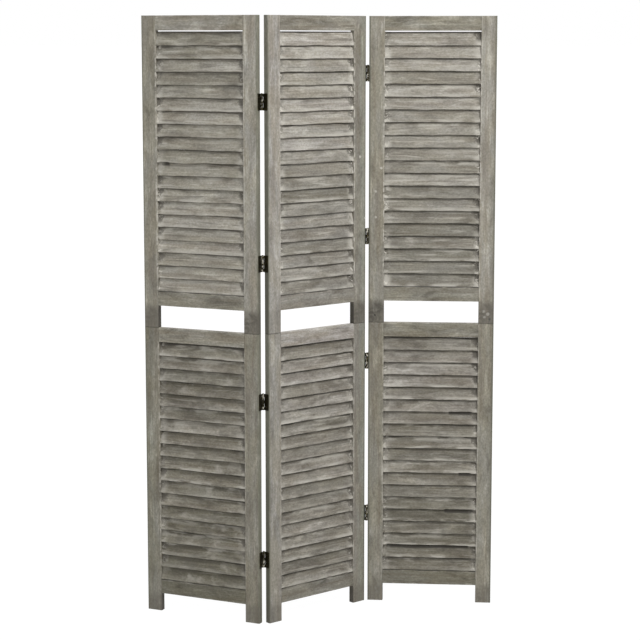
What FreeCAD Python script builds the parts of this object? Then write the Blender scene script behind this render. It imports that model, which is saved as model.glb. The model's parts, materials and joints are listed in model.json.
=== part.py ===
"""Folding privacy screen of three louvred panels.

Each panel is an upper and a lower half, stacked and dowelled together. A half has two stiles, two rails and a
bank of fixed slats that sit in slanted housings in the stiles. Four butt hinges join each pair of panels: the
left fold has its pins behind the panels, the right fold in front of them, so the screen stands in a zigzag.

Frame: +Z up, X along the screen, -Y towards the viewer, origin on the floor at the middle of the screen's
box. A panel's own frame has its origin at the panel's lower left front corner, with X along its width and Y
to its back.
"""
import FreeCAD
import Part
import Sketcher
import math
import os

from FreeCAD import Placement, Rotation, Vector

# Driving dimensions, in millimetres and degrees
SIZES = (
    ("panel_width", 350, "one panel, over both stiles"),
    ("frame_thickness", 17, "stiles and rails, front to back"),
    ("stile_width", 43, "face of a stile"),
    ("rail_height", 40, "face of a rail"),
    ("frame_round", 1.5, "rounding of the long edges of stiles and rails"),
    ("window_height", 61, "open band between the upper and the lower half"),
    ("foot_length", 50, "stile below the lowest rail"),
    ("upper_slat_count", 20, "slats in an upper half"),
    ("lower_slat_count", 19, "slats in a lower half"),
    ("slat_pitch", 35, "from one slat's axis to the next in an upper half"),
    ("upper_slat_drop", 22, "from an upper half's top rail to its first slat's axis"),
    ("lower_slat_drop", 20, "the same in a lower half, where the first slat closes up to the rail"),
    ("last_slat_rise", 20, "from a bottom rail to the last slat's axis"),
    ("slat_chord", 37.5, "width of a slat across its face"),
    ("slat_thickness", 5, "thickness of a slat"),
    ("slat_round", 1.5, "rounding of a slat's long edges"),
    ("slat_tilt", 14, "lean of a slat from upright, its top edge to the back"),
    ("housing_depth", 6, "depth of a slat's housing in the stile"),
    ("housing_clearance", 0.15, "gap round a slat's end in its housing"),
    ("rail_dowel_diameter", 6, "dowel between a rail and a stile"),
    ("rail_dowel_length", 24, "half in the rail, half in the stile"),
    ("rail_dowel_spacing", 20, "between the two dowels at a rail's end"),
    ("joint_dowel_diameter", 8, "dowel between the two halves of a stile"),
    ("joint_dowel_length", 50, "half in each half of the stile"),
    ("dowel_clearance", 0.05, "gap round a dowel in its hole"),
    ("dowel_end_gap", 0.5, "gap past a dowel's end"),
    ("hinge_height", 45, "a hinge along its pin"),
    ("hinge_knuckles", 5, "knuckles of a hinge, the odd ones on the middle panel"),
    ("leaf_thickness", 1.5, "sheet metal of a hinge leaf"),
    ("leaf_margin", 1, "bare wood beyond a leaf's long edge"),
    ("leaf_round", 2, "rounding of a leaf's corners"),
    ("pin_diameter", 3.2, "hinge pin"),
    ("pin_head_diameter", 5, "head of a hinge pin"),
    ("pin_head_height", 1.2, "head of a hinge pin"),
    ("pin_clearance", 0.05, "running gap between a pin and its knuckles"),
    ("pin_setback", 4.3, "from a panel's face to the pin axis beyond it"),
    ("knuckle_gap", 0.3, "between neighbouring knuckles, and round them"),
    ("screw_diameter", 3, "shank of a hinge screw"),
    ("screw_head_diameter", 5.6, "countersunk head"),
    ("screw_length", 15, "a hinge screw with its head"),
    ("screw_tip", 2.5, "tapered end of a screw"),
    ("screw_spacing", 26, "between the two screws of a leaf"),
    ("screw_clearance", 0.05, "gap round a screw"),
    ("left_fold_top_drop", 228, "panel's top to the middle of the first hinge"),
    ("left_fold_window_rise", 189, "joint of the halves up to the second hinge"),
    ("left_fold_window_drop", 187, "joint of the halves down to the third hinge"),
    ("left_fold_floor_rise", 177, "floor to the fourth hinge"),
    ("right_fold_top_drop", 156, "panel's top to the middle of the first hinge"),
    ("right_fold_window_rise", 242, "joint of the halves up to the second hinge"),
    ("right_fold_window_drop", 109, "joint of the halves down to the third hinge"),
    ("right_fold_floor_rise", 256, "floor to the fourth hinge"),
    ("left_panel_turn", 25, "left panel's right end towards the viewer"),
    ("middle_panel_turn", 41, "middle panel's right end away from the viewer"),
    ("right_panel_turn", 5, "right panel's right end towards the viewer"),
)

# Sizes that follow from the driving dimensions, as expressions
RAIL_LENGTH = "(sizes.panel_width - 2 * sizes.stile_width)"
SLAT_LENGTH = f"({RAIL_LENGTH} + 2 * sizes.housing_depth - 2 * sizes.housing_clearance)"
LEG = {"upper": "sizes.window_height", "lower": "sizes.foot_length"}
SLAT_ENDS = "(sizes.upper_slat_drop + sizes.last_slat_rise)"
OPENING = {h: f"((sizes.{h}_slat_count - 1) * sizes.slat_pitch + {SLAT_ENDS})" for h in LEG}
SLAT_RUN = {h: f"({OPENING[h]} - sizes.{h}_slat_drop - sizes.last_slat_rise)" for h in LEG}
HALF_HEIGHT = {h: f"({LEG[h]} + 2 * sizes.rail_height + {OPENING[h]})" for h in LEG}
PANEL_HEIGHT = f"({HALF_HEIGHT['upper']} + {HALF_HEIGHT['lower']})"
BOTTOM_RAIL = {h: f"({LEG[h]} + sizes.rail_height / 2)" for h in LEG}
TOP_RAIL = {h: f"({HALF_HEIGHT[h]} - sizes.rail_height / 2)" for h in LEG}
LAST_SLAT = {h: f"({LEG[h]} + sizes.rail_height + sizes.last_slat_rise)" for h in LEG}
KNUCKLE_RADIUS = "(sizes.pin_diameter / 2 + sizes.pin_clearance + sizes.leaf_thickness)"
KNUCKLE_BORE = "(sizes.pin_diameter / 2 + sizes.pin_clearance)"
KNUCKLE_PITCH = "(sizes.hinge_height / sizes.hinge_knuckles)"
LEAF_START = f"({KNUCKLE_RADIUS} + sizes.knuckle_gap)"
LEAF_END = "(sizes.pin_setback + sizes.frame_thickness - sizes.leaf_margin)"
LEAF_MIDDLE = f"(({LEAF_START} + {LEAF_END}) / 2)"
SCREW_CONE = "((sizes.screw_head_diameter - sizes.screw_diameter) / 2)"
PILOT_DEPTH = "(sizes.screw_length - sizes.leaf_thickness + sizes.dowel_end_gap)"
HINGE_HEIGHTS = {
    fold: (
        f"({PANEL_HEIGHT} - sizes.{fold}_fold_top_drop)",
        f"({HALF_HEIGHT['lower']} + sizes.{fold}_fold_window_rise)",
        f"({HALF_HEIGHT['lower']} - sizes.{fold}_fold_window_drop)",
        f"sizes.{fold}_fold_floor_rise",
    )
    for fold in ("left", "right")
}

doc = FreeCAD.newDocument("folding_screen")
sheet = doc.addObject("Spreadsheet::Sheet", "sizes")
for row, (alias, number, meaning) in enumerate(SIZES, 1):
    sheet.set(f"A{row}", alias)
    sheet.set(f"B{row}", str(number))
    sheet.set(f"C{row}", meaning)
    sheet.setAlias(f"B{row}", alias)
doc.recompute()

subparts = []


def value(expression):
    """The number that an expression on the sheet gives now."""
    return float(sheet.evalExpression(expression))


# Helpers for bodies, sketches and features

def new_body(label, placement, several=False):
    """A body for one named sub-part. several allows solids that stand apart, as in a bank of slats."""
    body = doc.addObject("PartDesign::Body", label)
    body.Label = label
    body.Placement = placement
    body.AllowCompound = several
    subparts.append(body)
    return body


def origin_feature(body, role):
    return next(f for f in body.Origin.OriginFeatures if f.Role == role)


def new_sketch(body, role, offset=("0", "0", "0")):
    """A sketch on an origin plane, moved by three expressions in the plane's own axes."""
    sketch = body.newObject("Sketcher::SketchObject", "sketch")
    sketch.AttachmentSupport = (origin_feature(body, role), [""])
    sketch.MapMode = "FlatFace"
    for axis, expression in zip("xyz", offset):
        if expression != "0":
            sketch.setExpression(f"AttachmentOffset.Base.{axis}", expression)
    return sketch


def bind(sketch, constraint, expression):
    """Adds a dimension and binds it to an expression."""
    index = sketch.addConstraint(constraint)
    sketch.setExpression(f"Constraints[{index}]", expression)


def rounded_rectangle(sketch, width, height, radius):
    """A rectangle with round corners about the sketch's origin."""
    side_x, side_y, rounding = value(width) / 2, value(height) / 2, value(radius)
    centre_x, centre_y = side_x - rounding, side_y - rounding
    lines = (
        ((-centre_x, -side_y), (centre_x, -side_y)),
        ((side_x, -centre_y), (side_x, centre_y)),
        ((centre_x, side_y), (-centre_x, side_y)),
        ((-side_x, centre_y), (-side_x, -centre_y)),
    )
    for start, end in lines:
        sketch.addGeometry(Part.LineSegment(Vector(*start), Vector(*end)))
    for quarter, (way_x, way_y) in enumerate(((1, -1), (1, 1), (-1, 1), (-1, -1))):
        centre = Vector(way_x * centre_x, way_y * centre_y)
        circle = Part.Circle(centre, Vector(0, 0, 1), rounding)
        first = (quarter - 1) * math.pi / 2
        sketch.addGeometry(Part.ArcOfCircle(circle, first, first + math.pi / 2))
    for side in range(4):
        sketch.addConstraint(Sketcher.Constraint("Tangent", side, 2, 4 + side, 1))
        sketch.addConstraint(Sketcher.Constraint("Tangent", 4 + side, 2, (side + 1) % 4, 1))
        sketch.addConstraint(Sketcher.Constraint("Vertical" if side % 2 else "Horizontal", side))
    for arc in (5, 6, 7):
        sketch.addConstraint(Sketcher.Constraint("Equal", 4, arc))
    sketch.addConstraint(Sketcher.Constraint("Symmetric", 4, 3, 6, 3, -1, 1))
    bind(sketch, Sketcher.Constraint("DistanceX", 3, 1, 1, 1, 2 * side_x), width)
    bind(sketch, Sketcher.Constraint("DistanceY", 0, 1, 2, 1, 2 * side_y), height)
    bind(sketch, Sketcher.Constraint("Radius", 4, rounding), radius)


def circles(sketch, diameter, heights):
    """Circles on the sketch's upright axis, at the given heights."""
    for height in heights:
        centre = Vector(0, value(height))
        index = sketch.addGeometry(Part.Circle(centre, Vector(0, 0, 1), value(diameter) / 2))
        sketch.addConstraint(Sketcher.Constraint("PointOnObject", index, 3, -2))
        bind(sketch, Sketcher.Constraint("DistanceY", -1, 1, index, 3, value(height)), height)
        bind(sketch, Sketcher.Constraint("Diameter", index, value(diameter)), diameter)


def half_outline(sketch, points):
    """A closed outline of straight runs, to turn about the sketch's X axis. A point is two expressions."""
    numbers = [(value(x), value(y)) for x, y in points]
    count = len(points)
    for i in range(count):
        sketch.addGeometry(Part.LineSegment(Vector(*numbers[i]), Vector(*numbers[(i + 1) % count])))
    for i in range(count):
        sketch.addConstraint(Sketcher.Constraint("Coincident", i, 2, (i + 1) % count, 1))
    for i, (x, y) in enumerate(points):
        if x == "0":
            sketch.addConstraint(Sketcher.Constraint("PointOnObject", i, 1, -2))
        else:
            bind(sketch, Sketcher.Constraint("DistanceX", -1, 1, i, 1, numbers[i][0]), x)
        if y == "0":
            sketch.addConstraint(Sketcher.Constraint("PointOnObject", i, 1, -1))
        else:
            bind(sketch, Sketcher.Constraint("DistanceY", -1, 1, i, 1, numbers[i][1]), y)


def pad(body, sketch, length):
    feature = body.newObject("PartDesign::Pad", "pad")
    feature.Profile = sketch
    feature.setExpression("Length", length)
    doc.recompute()
    return feature


def cut(body, kind, sketch, reverse=False, length=None):
    """A Pocket of the given length, or a Groove about the sketch's X axis, that must cut something."""
    before = body.Shape.Volume
    feature = body.newObject(f"PartDesign::{kind}", kind.lower())
    feature.Profile = sketch
    feature.Reversed = reverse
    if kind == "Groove":
        feature.ReferenceAxis = (sketch, ["H_Axis"])
        feature.Angle = 360
    else:
        feature.setExpression("Length", length)
    doc.recompute()
    if not body.Shape.Volume < before:
        raise RuntimeError(f"{body.Label}: a {kind} cut nothing")
    return feature


def repeat_upwards(body, feature, count, length):
    """Copies of a feature along the body's Z axis, the last one at the given length from the first."""
    pattern = body.newObject("PartDesign::LinearPattern", "pattern")
    pattern.Originals = [feature]
    pattern.Direction = (origin_feature(body, "Z_Axis"), [""])
    pattern.setExpression("Occurrences", count)
    pattern.setExpression("Length", length)
    body.Tip = pattern
    doc.recompute()
    return pattern


def new_group(label, shape, placements):
    """Like pieces that share a node, each a solid of its own."""
    group = doc.addObject("Part::Feature", label)
    group.Label = label
    group.Shape = Part.makeCompound([shape.transformed(p.toMatrix(), True) for p in placements])
    subparts.append(group)


# Wooden pieces, each in its own panel's frame

def make_stile(panel, half, side, placement, hinge_folds):
    """A stile with its slat housings and dowel holes, and pilot holes where it carries hinges."""
    body = new_body(f"{panel}_{half}_{side}_stile", placement)
    left = side == "left"
    start = "0" if left else "(sizes.panel_width - sizes.stile_width)"
    inner = "sizes.stile_width" if left else start
    outer = "0" if left else "sizes.panel_width"
    base = "0" if half == "lower" else HALF_HEIGHT["lower"]
    middle = "sizes.frame_thickness / 2"

    outline = new_sketch(body, "XY_Plane", (f"{start} + sizes.stile_width / 2", middle, base))
    rounded_rectangle(outline, "sizes.stile_width", "sizes.frame_thickness", "sizes.frame_round")
    pad(body, outline, HALF_HEIGHT[half])

    housing = slat_outline(body, half, inner, "2 * sizes.housing_clearance")
    first = cut(body, "Pocket", housing, not left, "sizes.housing_depth")
    repeat_upwards(body, first, f"sizes.{half}_slat_count", SLAT_RUN[half])

    holes = new_sketch(body, "YZ_Plane", (middle, base, inner))
    circles(holes, "sizes.rail_dowel_diameter + 2 * sizes.dowel_clearance", rail_dowel_heights(half))
    cut(body, "Pocket", holes, not left, "sizes.rail_dowel_length / 2 + sizes.dowel_end_gap")

    joint = new_sketch(body, "XY_Plane", (f"{start} + sizes.stile_width / 2", middle, HALF_HEIGHT["lower"]))
    circles(joint, "sizes.joint_dowel_diameter + 2 * sizes.dowel_clearance", ["0"])
    cut(body, "Pocket", joint, half == "upper", "sizes.joint_dowel_length / 2 + sizes.dowel_end_gap")

    for fold in hinge_folds:
        pilots = new_sketch(body, "YZ_Plane", (screw_line(fold), "0", outer))
        circles(pilots, "sizes.screw_diameter + 2 * sizes.screw_clearance", screw_heights(fold, half))
        cut(body, "Pocket", pilots, left, PILOT_DEPTH)


def slat_outline(body, half, along, growth):
    """The slanted section of the lowest slat of a half, grown all round, at a place along the panel."""
    base = "0" if half == "lower" else HALF_HEIGHT["lower"]
    sketch = new_sketch(body, "YZ_Plane", ("sizes.frame_thickness / 2", f"{base} + {LAST_SLAT[half]}", along))
    sketch.AttachmentOffset = Placement(sketch.AttachmentOffset.Base, Rotation(Vector(0, 0, -1), 1))
    sketch.setExpression("AttachmentOffset.Rotation.Angle", "sizes.slat_tilt")
    rounded_rectangle(sketch, f"sizes.slat_thickness + {growth}", f"sizes.slat_chord + {growth}",
                      f"sizes.slat_round + {growth} / 2")
    return sketch


def make_slats(panel, half, placement):
    """The bank of slats of one half, from housing to housing."""
    body = new_body(f"{panel}_{half}_slats", placement, several=True)
    along = "sizes.stile_width - sizes.housing_depth + sizes.housing_clearance"
    slat = pad(body, slat_outline(body, half, along, "0"), SLAT_LENGTH)
    repeat_upwards(body, slat, f"sizes.{half}_slat_count", SLAT_RUN[half])


def rail_dowel_heights(half):
    """Heights of the dowels of both rails above the foot of their half."""
    rails = (BOTTOM_RAIL[half], TOP_RAIL[half])
    return [f"{rail} {sign} sizes.rail_dowel_spacing / 2" for rail in rails for sign in "-+"]


def make_rail(panel, half, place, placement):
    """A rail between the stiles, with two dowel holes in each end."""
    body = new_body(f"{panel}_{half}_{place}_rail", placement)
    base = "0" if half == "lower" else HALF_HEIGHT["lower"]
    height = f"{base} + {(TOP_RAIL if place == 'top' else BOTTOM_RAIL)[half]}"
    outline = new_sketch(body, "YZ_Plane", ("sizes.frame_thickness / 2", height, "sizes.stile_width"))
    rounded_rectangle(outline, "sizes.frame_thickness", "sizes.rail_height", "sizes.frame_round")
    pad(body, outline, RAIL_LENGTH)
    for end, reverse in (("sizes.stile_width", True), (f"sizes.stile_width + {RAIL_LENGTH}", False)):
        holes = new_sketch(body, "YZ_Plane", ("sizes.frame_thickness / 2", height, end))
        spread = ["-sizes.rail_dowel_spacing / 2", "sizes.rail_dowel_spacing / 2"]
        circles(holes, "sizes.rail_dowel_diameter + 2 * sizes.dowel_clearance", spread)
        cut(body, "Pocket", holes, reverse, "sizes.rail_dowel_length / 2 + sizes.dowel_end_gap")


def make_dowels(panel, placement):
    """The dowels of one panel: those at the rails' ends, and those that hold the halves together."""
    thickness = value("sizes.frame_thickness")
    stile = value("sizes.stile_width")
    width = value("sizes.panel_width")
    length = value("sizes.rail_dowel_length")
    radius = value("sizes.rail_dowel_diameter / 2")
    dowel = Part.makeCylinder(radius, length, Vector(-length / 2, 0, 0), Vector(1, 0, 0))
    spots = []
    for half in LEG:
        base = 0 if half == "lower" else value(HALF_HEIGHT["lower"])
        for height in rail_dowel_heights(half):
            for x in (stile, width - stile):
                spots.append(Placement(Vector(x, thickness / 2, base + value(height)), Rotation()))
    new_group(f"{panel}_rail_dowels", dowel, [placement * s for s in spots])

    length = value("sizes.joint_dowel_length")
    dowel = Part.makeCylinder(value("sizes.joint_dowel_diameter / 2"), length, Vector(0, 0, -length / 2))
    joint = value(HALF_HEIGHT["lower"])
    spots = [Placement(Vector(x, thickness / 2, joint), Rotation()) for x in (stile / 2, width - stile / 2)]
    new_group(f"{panel}_joint_dowels", dowel, [placement * s for s in spots])


# Hinges, each in its own frame: the pin on Z, the leaf's plate towards -Y, on the +X or the -X side

def screw_line(fold):
    """Depth of a fold's screws behind the panel's front face."""
    from_pin = f"({LEAF_MIDDLE} - sizes.pin_setback)"
    return f"sizes.frame_thickness - {from_pin}" if fold == "left" else from_pin


def screw_heights(fold, half):
    """Heights of the screws of a fold that go into one half of a stile."""
    hinges = HINGE_HEIGHTS[fold][:2] if half == "upper" else HINGE_HEIGHTS[fold][2:]
    return [f"{hinge} {sign} sizes.screw_spacing / 2" for hinge in hinges for sign in "-+"]


def knuckle_outline(sketch, side):
    """A rolled knuckle with its bore, and the tongue that joins it to the leaf's plate."""
    outer, bore = value(KNUCKLE_RADIUS), value(KNUCKLE_BORE)
    tongue = f"({LEAF_START} + sizes.knuckle_gap)"
    low = -value(tongue)
    meet = -math.sqrt(outer ** 2 - bore ** 2)
    face, inside = Vector(side * outer, 0), Vector(side * bore, meet)
    foot, inner_foot = Vector(side * outer, low), Vector(side * bore, low)
    turn = math.atan2(meet, bore) + 2 * math.pi
    angles = (0, turn) if side > 0 else (math.pi - turn, math.pi)
    sketch.addGeometry(Part.ArcOfCircle(Part.Circle(Vector(), Vector(0, 0, 1), outer), *angles))
    sketch.addGeometry(Part.LineSegment(inside, inner_foot))
    sketch.addGeometry(Part.LineSegment(inner_foot, foot))
    sketch.addGeometry(Part.LineSegment(foot, face))
    sketch.addGeometry(Part.Circle(Vector(), Vector(0, 0, 1), bore))
    first, last = (1, 2) if side > 0 else (2, 1)
    for joined in ((0, last, 1, 1), (1, 2, 2, 1), (2, 2, 3, 1)):
        sketch.addConstraint(Sketcher.Constraint("Coincident", *joined))
    sketch.addConstraint(Sketcher.Constraint("Tangent", 0, first, 3, 2))
    for line, way in ((1, "Vertical"), (2, "Horizontal"), (3, "Vertical")):
        sketch.addConstraint(Sketcher.Constraint(way, line))
    for round_one in (0, 4):
        sketch.addConstraint(Sketcher.Constraint("Coincident", round_one, 3, -1, 1))
    bind(sketch, Sketcher.Constraint("Radius", 0, outer), KNUCKLE_RADIUS)
    bind(sketch, Sketcher.Constraint("Radius", 4, bore), KNUCKLE_BORE)
    near, far = ((2, 1), (2, 2)) if side > 0 else ((2, 2), (2, 1))
    bind(sketch, Sketcher.Constraint("DistanceX", *near, *far, outer - bore), "sizes.leaf_thickness")
    bind(sketch, Sketcher.Constraint("DistanceY", *far, -1, 1, -low), tongue)


def make_leaf(label, placement, side, odd):
    """A hinge leaf: its plate, its odd or even knuckles, and two countersunk holes."""
    body = new_body(label, placement)
    inner_face = KNUCKLE_BORE if side > 0 else f"-{KNUCKLE_RADIUS}"
    plate = new_sketch(body, "YZ_Plane", (f"-{LEAF_MIDDLE}", "0", inner_face))
    rounded_rectangle(plate, f"{LEAF_END} - {LEAF_START}", "sizes.hinge_height", "sizes.leaf_round")
    pad(body, plate, "sizes.leaf_thickness")

    before = 0 if odd else 1
    lowest = f"-sizes.hinge_height / 2 + {before} * {KNUCKLE_PITCH} + sizes.knuckle_gap / 2"
    knuckle = new_sketch(body, "XY_Plane", ("0", "0", lowest))
    knuckle_outline(knuckle, side)
    first = pad(body, knuckle, f"{KNUCKLE_PITCH} - sizes.knuckle_gap")
    count = f"floor((sizes.hinge_knuckles + {1 - before}) / 2)"
    repeat_upwards(body, first, count, f"2 * {KNUCKLE_PITCH} * ({count} - 1)")

    for sign in ("-", ""):
        hole = new_sketch(body, "XY_Plane", (f"{'' if side > 0 else '-'}{KNUCKLE_BORE}", f"-{LEAF_MIDDLE}",
                                             f"{sign}sizes.screw_spacing / 2"))
        way = "" if side > 0 else "-"
        wide = "sizes.screw_head_diameter / 2 + sizes.screw_clearance"
        narrow = "sizes.screw_diameter / 2 + sizes.screw_clearance"
        half_outline(hole, (("0", "0"), ("0", wide), (f"{way}{SCREW_CONE}", narrow),
                            (f"{way}sizes.leaf_thickness", narrow), (f"{way}sizes.leaf_thickness", "0")))
        cut(body, "Groove", hole)


def turned_shape(name, points):
    """The shape of a small turned piece, about its X axis, that is then placed in groups."""
    body = doc.addObject("PartDesign::Body", name)
    sketch = new_sketch(body, "XY_Plane")
    half_outline(sketch, points)
    turned = body.newObject("PartDesign::Revolution", "turned")
    turned.Profile = sketch
    turned.ReferenceAxis = (sketch, ["H_Axis"])
    turned.Angle = 360
    doc.recompute()
    return body.Shape


def make_hinges(fold, panel, panel_place, middle_place):
    """The four hinges of a fold, each with a leaf on the outer and on the middle panel, and their screws."""
    bore, middle = value(KNUCKLE_BORE), value(LEAF_MIDDLE)
    spread = value("sizes.screw_spacing / 2")
    pin = pin_spot(fold)
    turn = Rotation(Vector(0, 0, 1), 0 if fold == "left" else 180)
    sides = ((panel, panel_place, pin[fold], -1, False), ("middle", middle_place, pin["middle"], 1, True))
    pins = []
    for owner, place, (x, y), side, odd in sides:
        screws = []
        for number, height in enumerate(HINGE_HEIGHTS[fold], 1):
            spot = place * Placement(Vector(x, y, value(height)), turn)
            make_leaf(f"{fold}_fold_hinge_{number}_{owner}_leaf", spot, side, odd)
            into_wood = Rotation(Vector(0, 0, 1), 0 if side > 0 else 180)
            for z in (-spread, spread):
                screws.append(spot * Placement(Vector(side * bore, -middle, z), into_wood))
            if odd:
                pins.append(spot)
        new_group(f"{fold}_fold_{owner}_screws", screw_shape, screws)
    upright = Placement(Vector(), Rotation(Vector(0, 1, 0), -90))
    new_group(f"{fold}_fold_hinge_pins", pin_shape, [p * upright for p in pins])


# Where the panels stand

def pin_spot(fold):
    """A fold's pin in the plan of the outer panel and of the middle panel."""
    width, radius = value("sizes.panel_width"), value(KNUCKLE_RADIUS)
    behind = value("sizes.frame_thickness + sizes.pin_setback")
    before = -value("sizes.pin_setback")
    if fold == "left":
        return {"left": (width + radius, behind), "middle": (-radius, behind)}
    return {"right": (-radius, before), "middle": (width + radius, before)}


def panel_placements():
    """The three panels' placements, folded as they stand, about the middle of the screen's box."""
    turns = {"left": -value("sizes.left_panel_turn"), "middle": value("sizes.middle_panel_turn"),
             "right": -value("sizes.right_panel_turn")}
    turned = {panel: Rotation(Vector(0, 0, 1), turn) for panel, turn in turns.items()}
    corners = {"middle": Vector()}
    for fold in ("left", "right"):
        spot = pin_spot(fold)
        pin = turned["middle"].multVec(Vector(*spot["middle"]))
        corners[fold] = pin - turned[fold].multVec(Vector(*spot[fold]))
    edge = value("sizes.frame_round")
    xs, ys = [], []
    for panel, corner in corners.items():
        for x in (edge, value("sizes.panel_width") - edge):
            for y in (edge, value("sizes.frame_thickness") - edge):
                point = corner + turned[panel].multVec(Vector(x, y))
                xs += [point.x - edge, point.x + edge]
                ys += [point.y - edge, point.y + edge]
    middle = Vector((min(xs) + max(xs)) / 2, (min(ys) + max(ys)) / 2)
    return {panel: Placement(corner - middle, turned[panel]) for panel, corner in corners.items()}


def make_panel(panel, placement):
    """The wooden pieces of one panel."""
    folds_at = {"left": {"right": ["left"]}, "middle": {"left": ["left"], "right": ["right"]},
                "right": {"left": ["right"]}}[panel]
    for half in ("upper", "lower"):
        for side in ("left", "right"):
            make_stile(panel, half, side, placement, folds_at.get(side, []))
        for place in ("top", "bottom"):
            make_rail(panel, half, place, placement)
        make_slats(panel, half, placement)
    make_dowels(panel, placement)


placements = panel_placements()
for panel_name, panel_placement in placements.items():
    make_panel(panel_name, panel_placement)

screw_shape = turned_shape("hinge_screw", (
    ("0", "0"), ("0", "sizes.screw_head_diameter / 2"), (SCREW_CONE, "sizes.screw_diameter / 2"),
    ("sizes.screw_length - sizes.screw_tip", "sizes.screw_diameter / 2"), ("sizes.screw_length", "0")))
pin_shape = turned_shape("hinge_pin", (
    ("-sizes.hinge_height / 2", "0"), ("-sizes.hinge_height / 2", "sizes.pin_diameter / 2"),
    ("sizes.hinge_height / 2", "sizes.pin_diameter / 2"),
    ("sizes.hinge_height / 2", "sizes.pin_head_diameter / 2"),
    ("sizes.hinge_height / 2 + sizes.pin_head_height", "sizes.pin_diameter / 2"),
    ("sizes.hinge_height / 2 + sizes.pin_head_height", "0")))
for fold_name in ("left", "right"):
    make_hinges(fold_name, fold_name, placements[fold_name], placements["middle"])

# Nothing is written unless every object is sound
doc.recompute()
for item in doc.Objects:
    if "Invalid" in item.State or "Error" in item.State:
        raise RuntimeError(f"{item.Label} failed to build: {item.State}")
for item in subparts:
    if item.Shape.isNull() or not item.Shape.isValid():
        raise RuntimeError(f"{item.Label} has no sound shape")

os.makedirs("parts", exist_ok=True)
for item in subparts:
    item.Shape.exportStep(f"parts/{item.Label}.step")
for fold_name in ("left", "right"):
    pin_point = placements["middle"].multVec(Vector(*pin_spot(fold_name)["middle"], 0))
    print(f"{fold_name} fold pin at x {pin_point.x:.3f}, y {pin_point.y:.3f}")
print(f"{len(subparts)} sub-parts, panel height {value(PANEL_HEIGHT):g} mm")
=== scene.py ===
"""Looks of a weathered folding louvre screen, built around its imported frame."""
import json
import math
import random
from types import SimpleNamespace

import bmesh
import bpy
from mathutils import Matrix, Vector


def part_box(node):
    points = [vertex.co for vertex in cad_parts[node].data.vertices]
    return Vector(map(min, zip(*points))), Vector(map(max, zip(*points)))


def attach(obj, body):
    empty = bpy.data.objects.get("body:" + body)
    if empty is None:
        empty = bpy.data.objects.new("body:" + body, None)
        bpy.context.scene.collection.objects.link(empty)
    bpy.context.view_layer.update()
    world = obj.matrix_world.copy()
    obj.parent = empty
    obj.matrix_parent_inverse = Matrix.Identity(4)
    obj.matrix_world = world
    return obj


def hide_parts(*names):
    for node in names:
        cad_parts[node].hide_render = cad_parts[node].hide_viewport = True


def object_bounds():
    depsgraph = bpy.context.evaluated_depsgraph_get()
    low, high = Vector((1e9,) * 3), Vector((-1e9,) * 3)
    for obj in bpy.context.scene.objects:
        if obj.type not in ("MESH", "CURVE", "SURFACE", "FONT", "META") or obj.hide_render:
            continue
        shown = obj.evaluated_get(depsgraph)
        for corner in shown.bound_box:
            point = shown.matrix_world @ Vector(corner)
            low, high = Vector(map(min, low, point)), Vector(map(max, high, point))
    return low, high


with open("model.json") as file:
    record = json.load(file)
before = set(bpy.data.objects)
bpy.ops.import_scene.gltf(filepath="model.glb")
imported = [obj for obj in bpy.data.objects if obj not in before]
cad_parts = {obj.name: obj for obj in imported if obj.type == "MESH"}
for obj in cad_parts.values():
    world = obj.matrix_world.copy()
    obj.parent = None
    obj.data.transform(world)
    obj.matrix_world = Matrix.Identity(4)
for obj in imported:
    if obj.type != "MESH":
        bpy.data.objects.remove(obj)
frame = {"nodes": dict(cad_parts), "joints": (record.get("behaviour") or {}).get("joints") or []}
frame_box = [[float(v) for v in corner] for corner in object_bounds()]

bl_info = {
    "name": "Weathered louvre screen",
    "version": (1, 0, 0),
    "blender": (4, 5, 0),
    "location": "3D View > Sidebar > Screen",
    "description": "Dresses a folding louvre screen in grey washed wood and dark bronze hinges",
    "category": "Object",
}

PANELS = ("left", "middle", "right")
HALVES = ("upper", "lower")
HINGES_IN_FOLD = 4
PIN = {joint["name"]: Vector(joint["pos_m"]) for joint in frame["joints"]}


# Looks of each bank, board and slat

# How strong the wash is at the foot and the head of each bank of slats.
BANK_TONES = {
    ("left", "upper"): (1.26, 1.0), ("left", "lower"): (0.62, 0.76),
    ("middle", "upper"): (0.84, 1.24), ("middle", "lower"): (0.79, 0.9),
    ("right", "upper"): (0.76, 1.06), ("right", "lower"): (0.57, 0.87),
}
# Height from a bank's foot to its head, over which its tone and its blue change.
BANK_SPAN = 0.65
# Bands of darker or paler slats in a bank: height of the band's middle, and how much it changes the tone.
BANK_BANDS = {
    ("left", "lower"): ((0.66, -0.1), (0.5, 0.08), (0.17, -0.08)),
    ("middle", "upper"): ((1.175, -0.15),), ("middle", "lower"): ((0.5, -0.1),),
    ("right", "upper"): ((1.35, 0.07), (1.0, -0.08)), ("right", "lower"): ((0.2, -0.08),),
}
# How far from a band's middle it ends, and how far it is full.
BAND_REACH = (0.1, 0.04)
# How smoky each panel's lower slats are, which also sets how much painted shade darkens their faces toward
# the slat above.
SMOKE_AND_SHADE = {"left": 1.0, "middle": 0.55, "right": 0.3}
# How strong the painted shade in the slats' corners is, and how pale their smears and specks are, at their
# left ends, then their right ends.
BANK_ENDS = {
    "left": ((0.8, 0.9), (0.75, 0.45)),
    "middle": ((0.6, 0.75), (0.9, 0.9)),
    "right": ((0.55, 1.0), (0.95, 0.8)),
}
# How strongly each board took the wash: left stile, right stile, top rail, bottom rail.
BOARD_TONES = {
    ("left", "upper"): (0.96, 1.13, 1.03, 0.81), ("left", "lower"): (0.86, 0.87, 1.0, 0.51),
    ("middle", "upper"): (1.1, 0.8, 0.78, 0.87), ("middle", "lower"): (0.96, 0.82, 1.35, 0.71),
    ("right", "upper"): (0.93, 1.07, 0.86, 0.79), ("right", "lower"): (0.89, 0.94, 0.84, 0.64),
}
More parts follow.
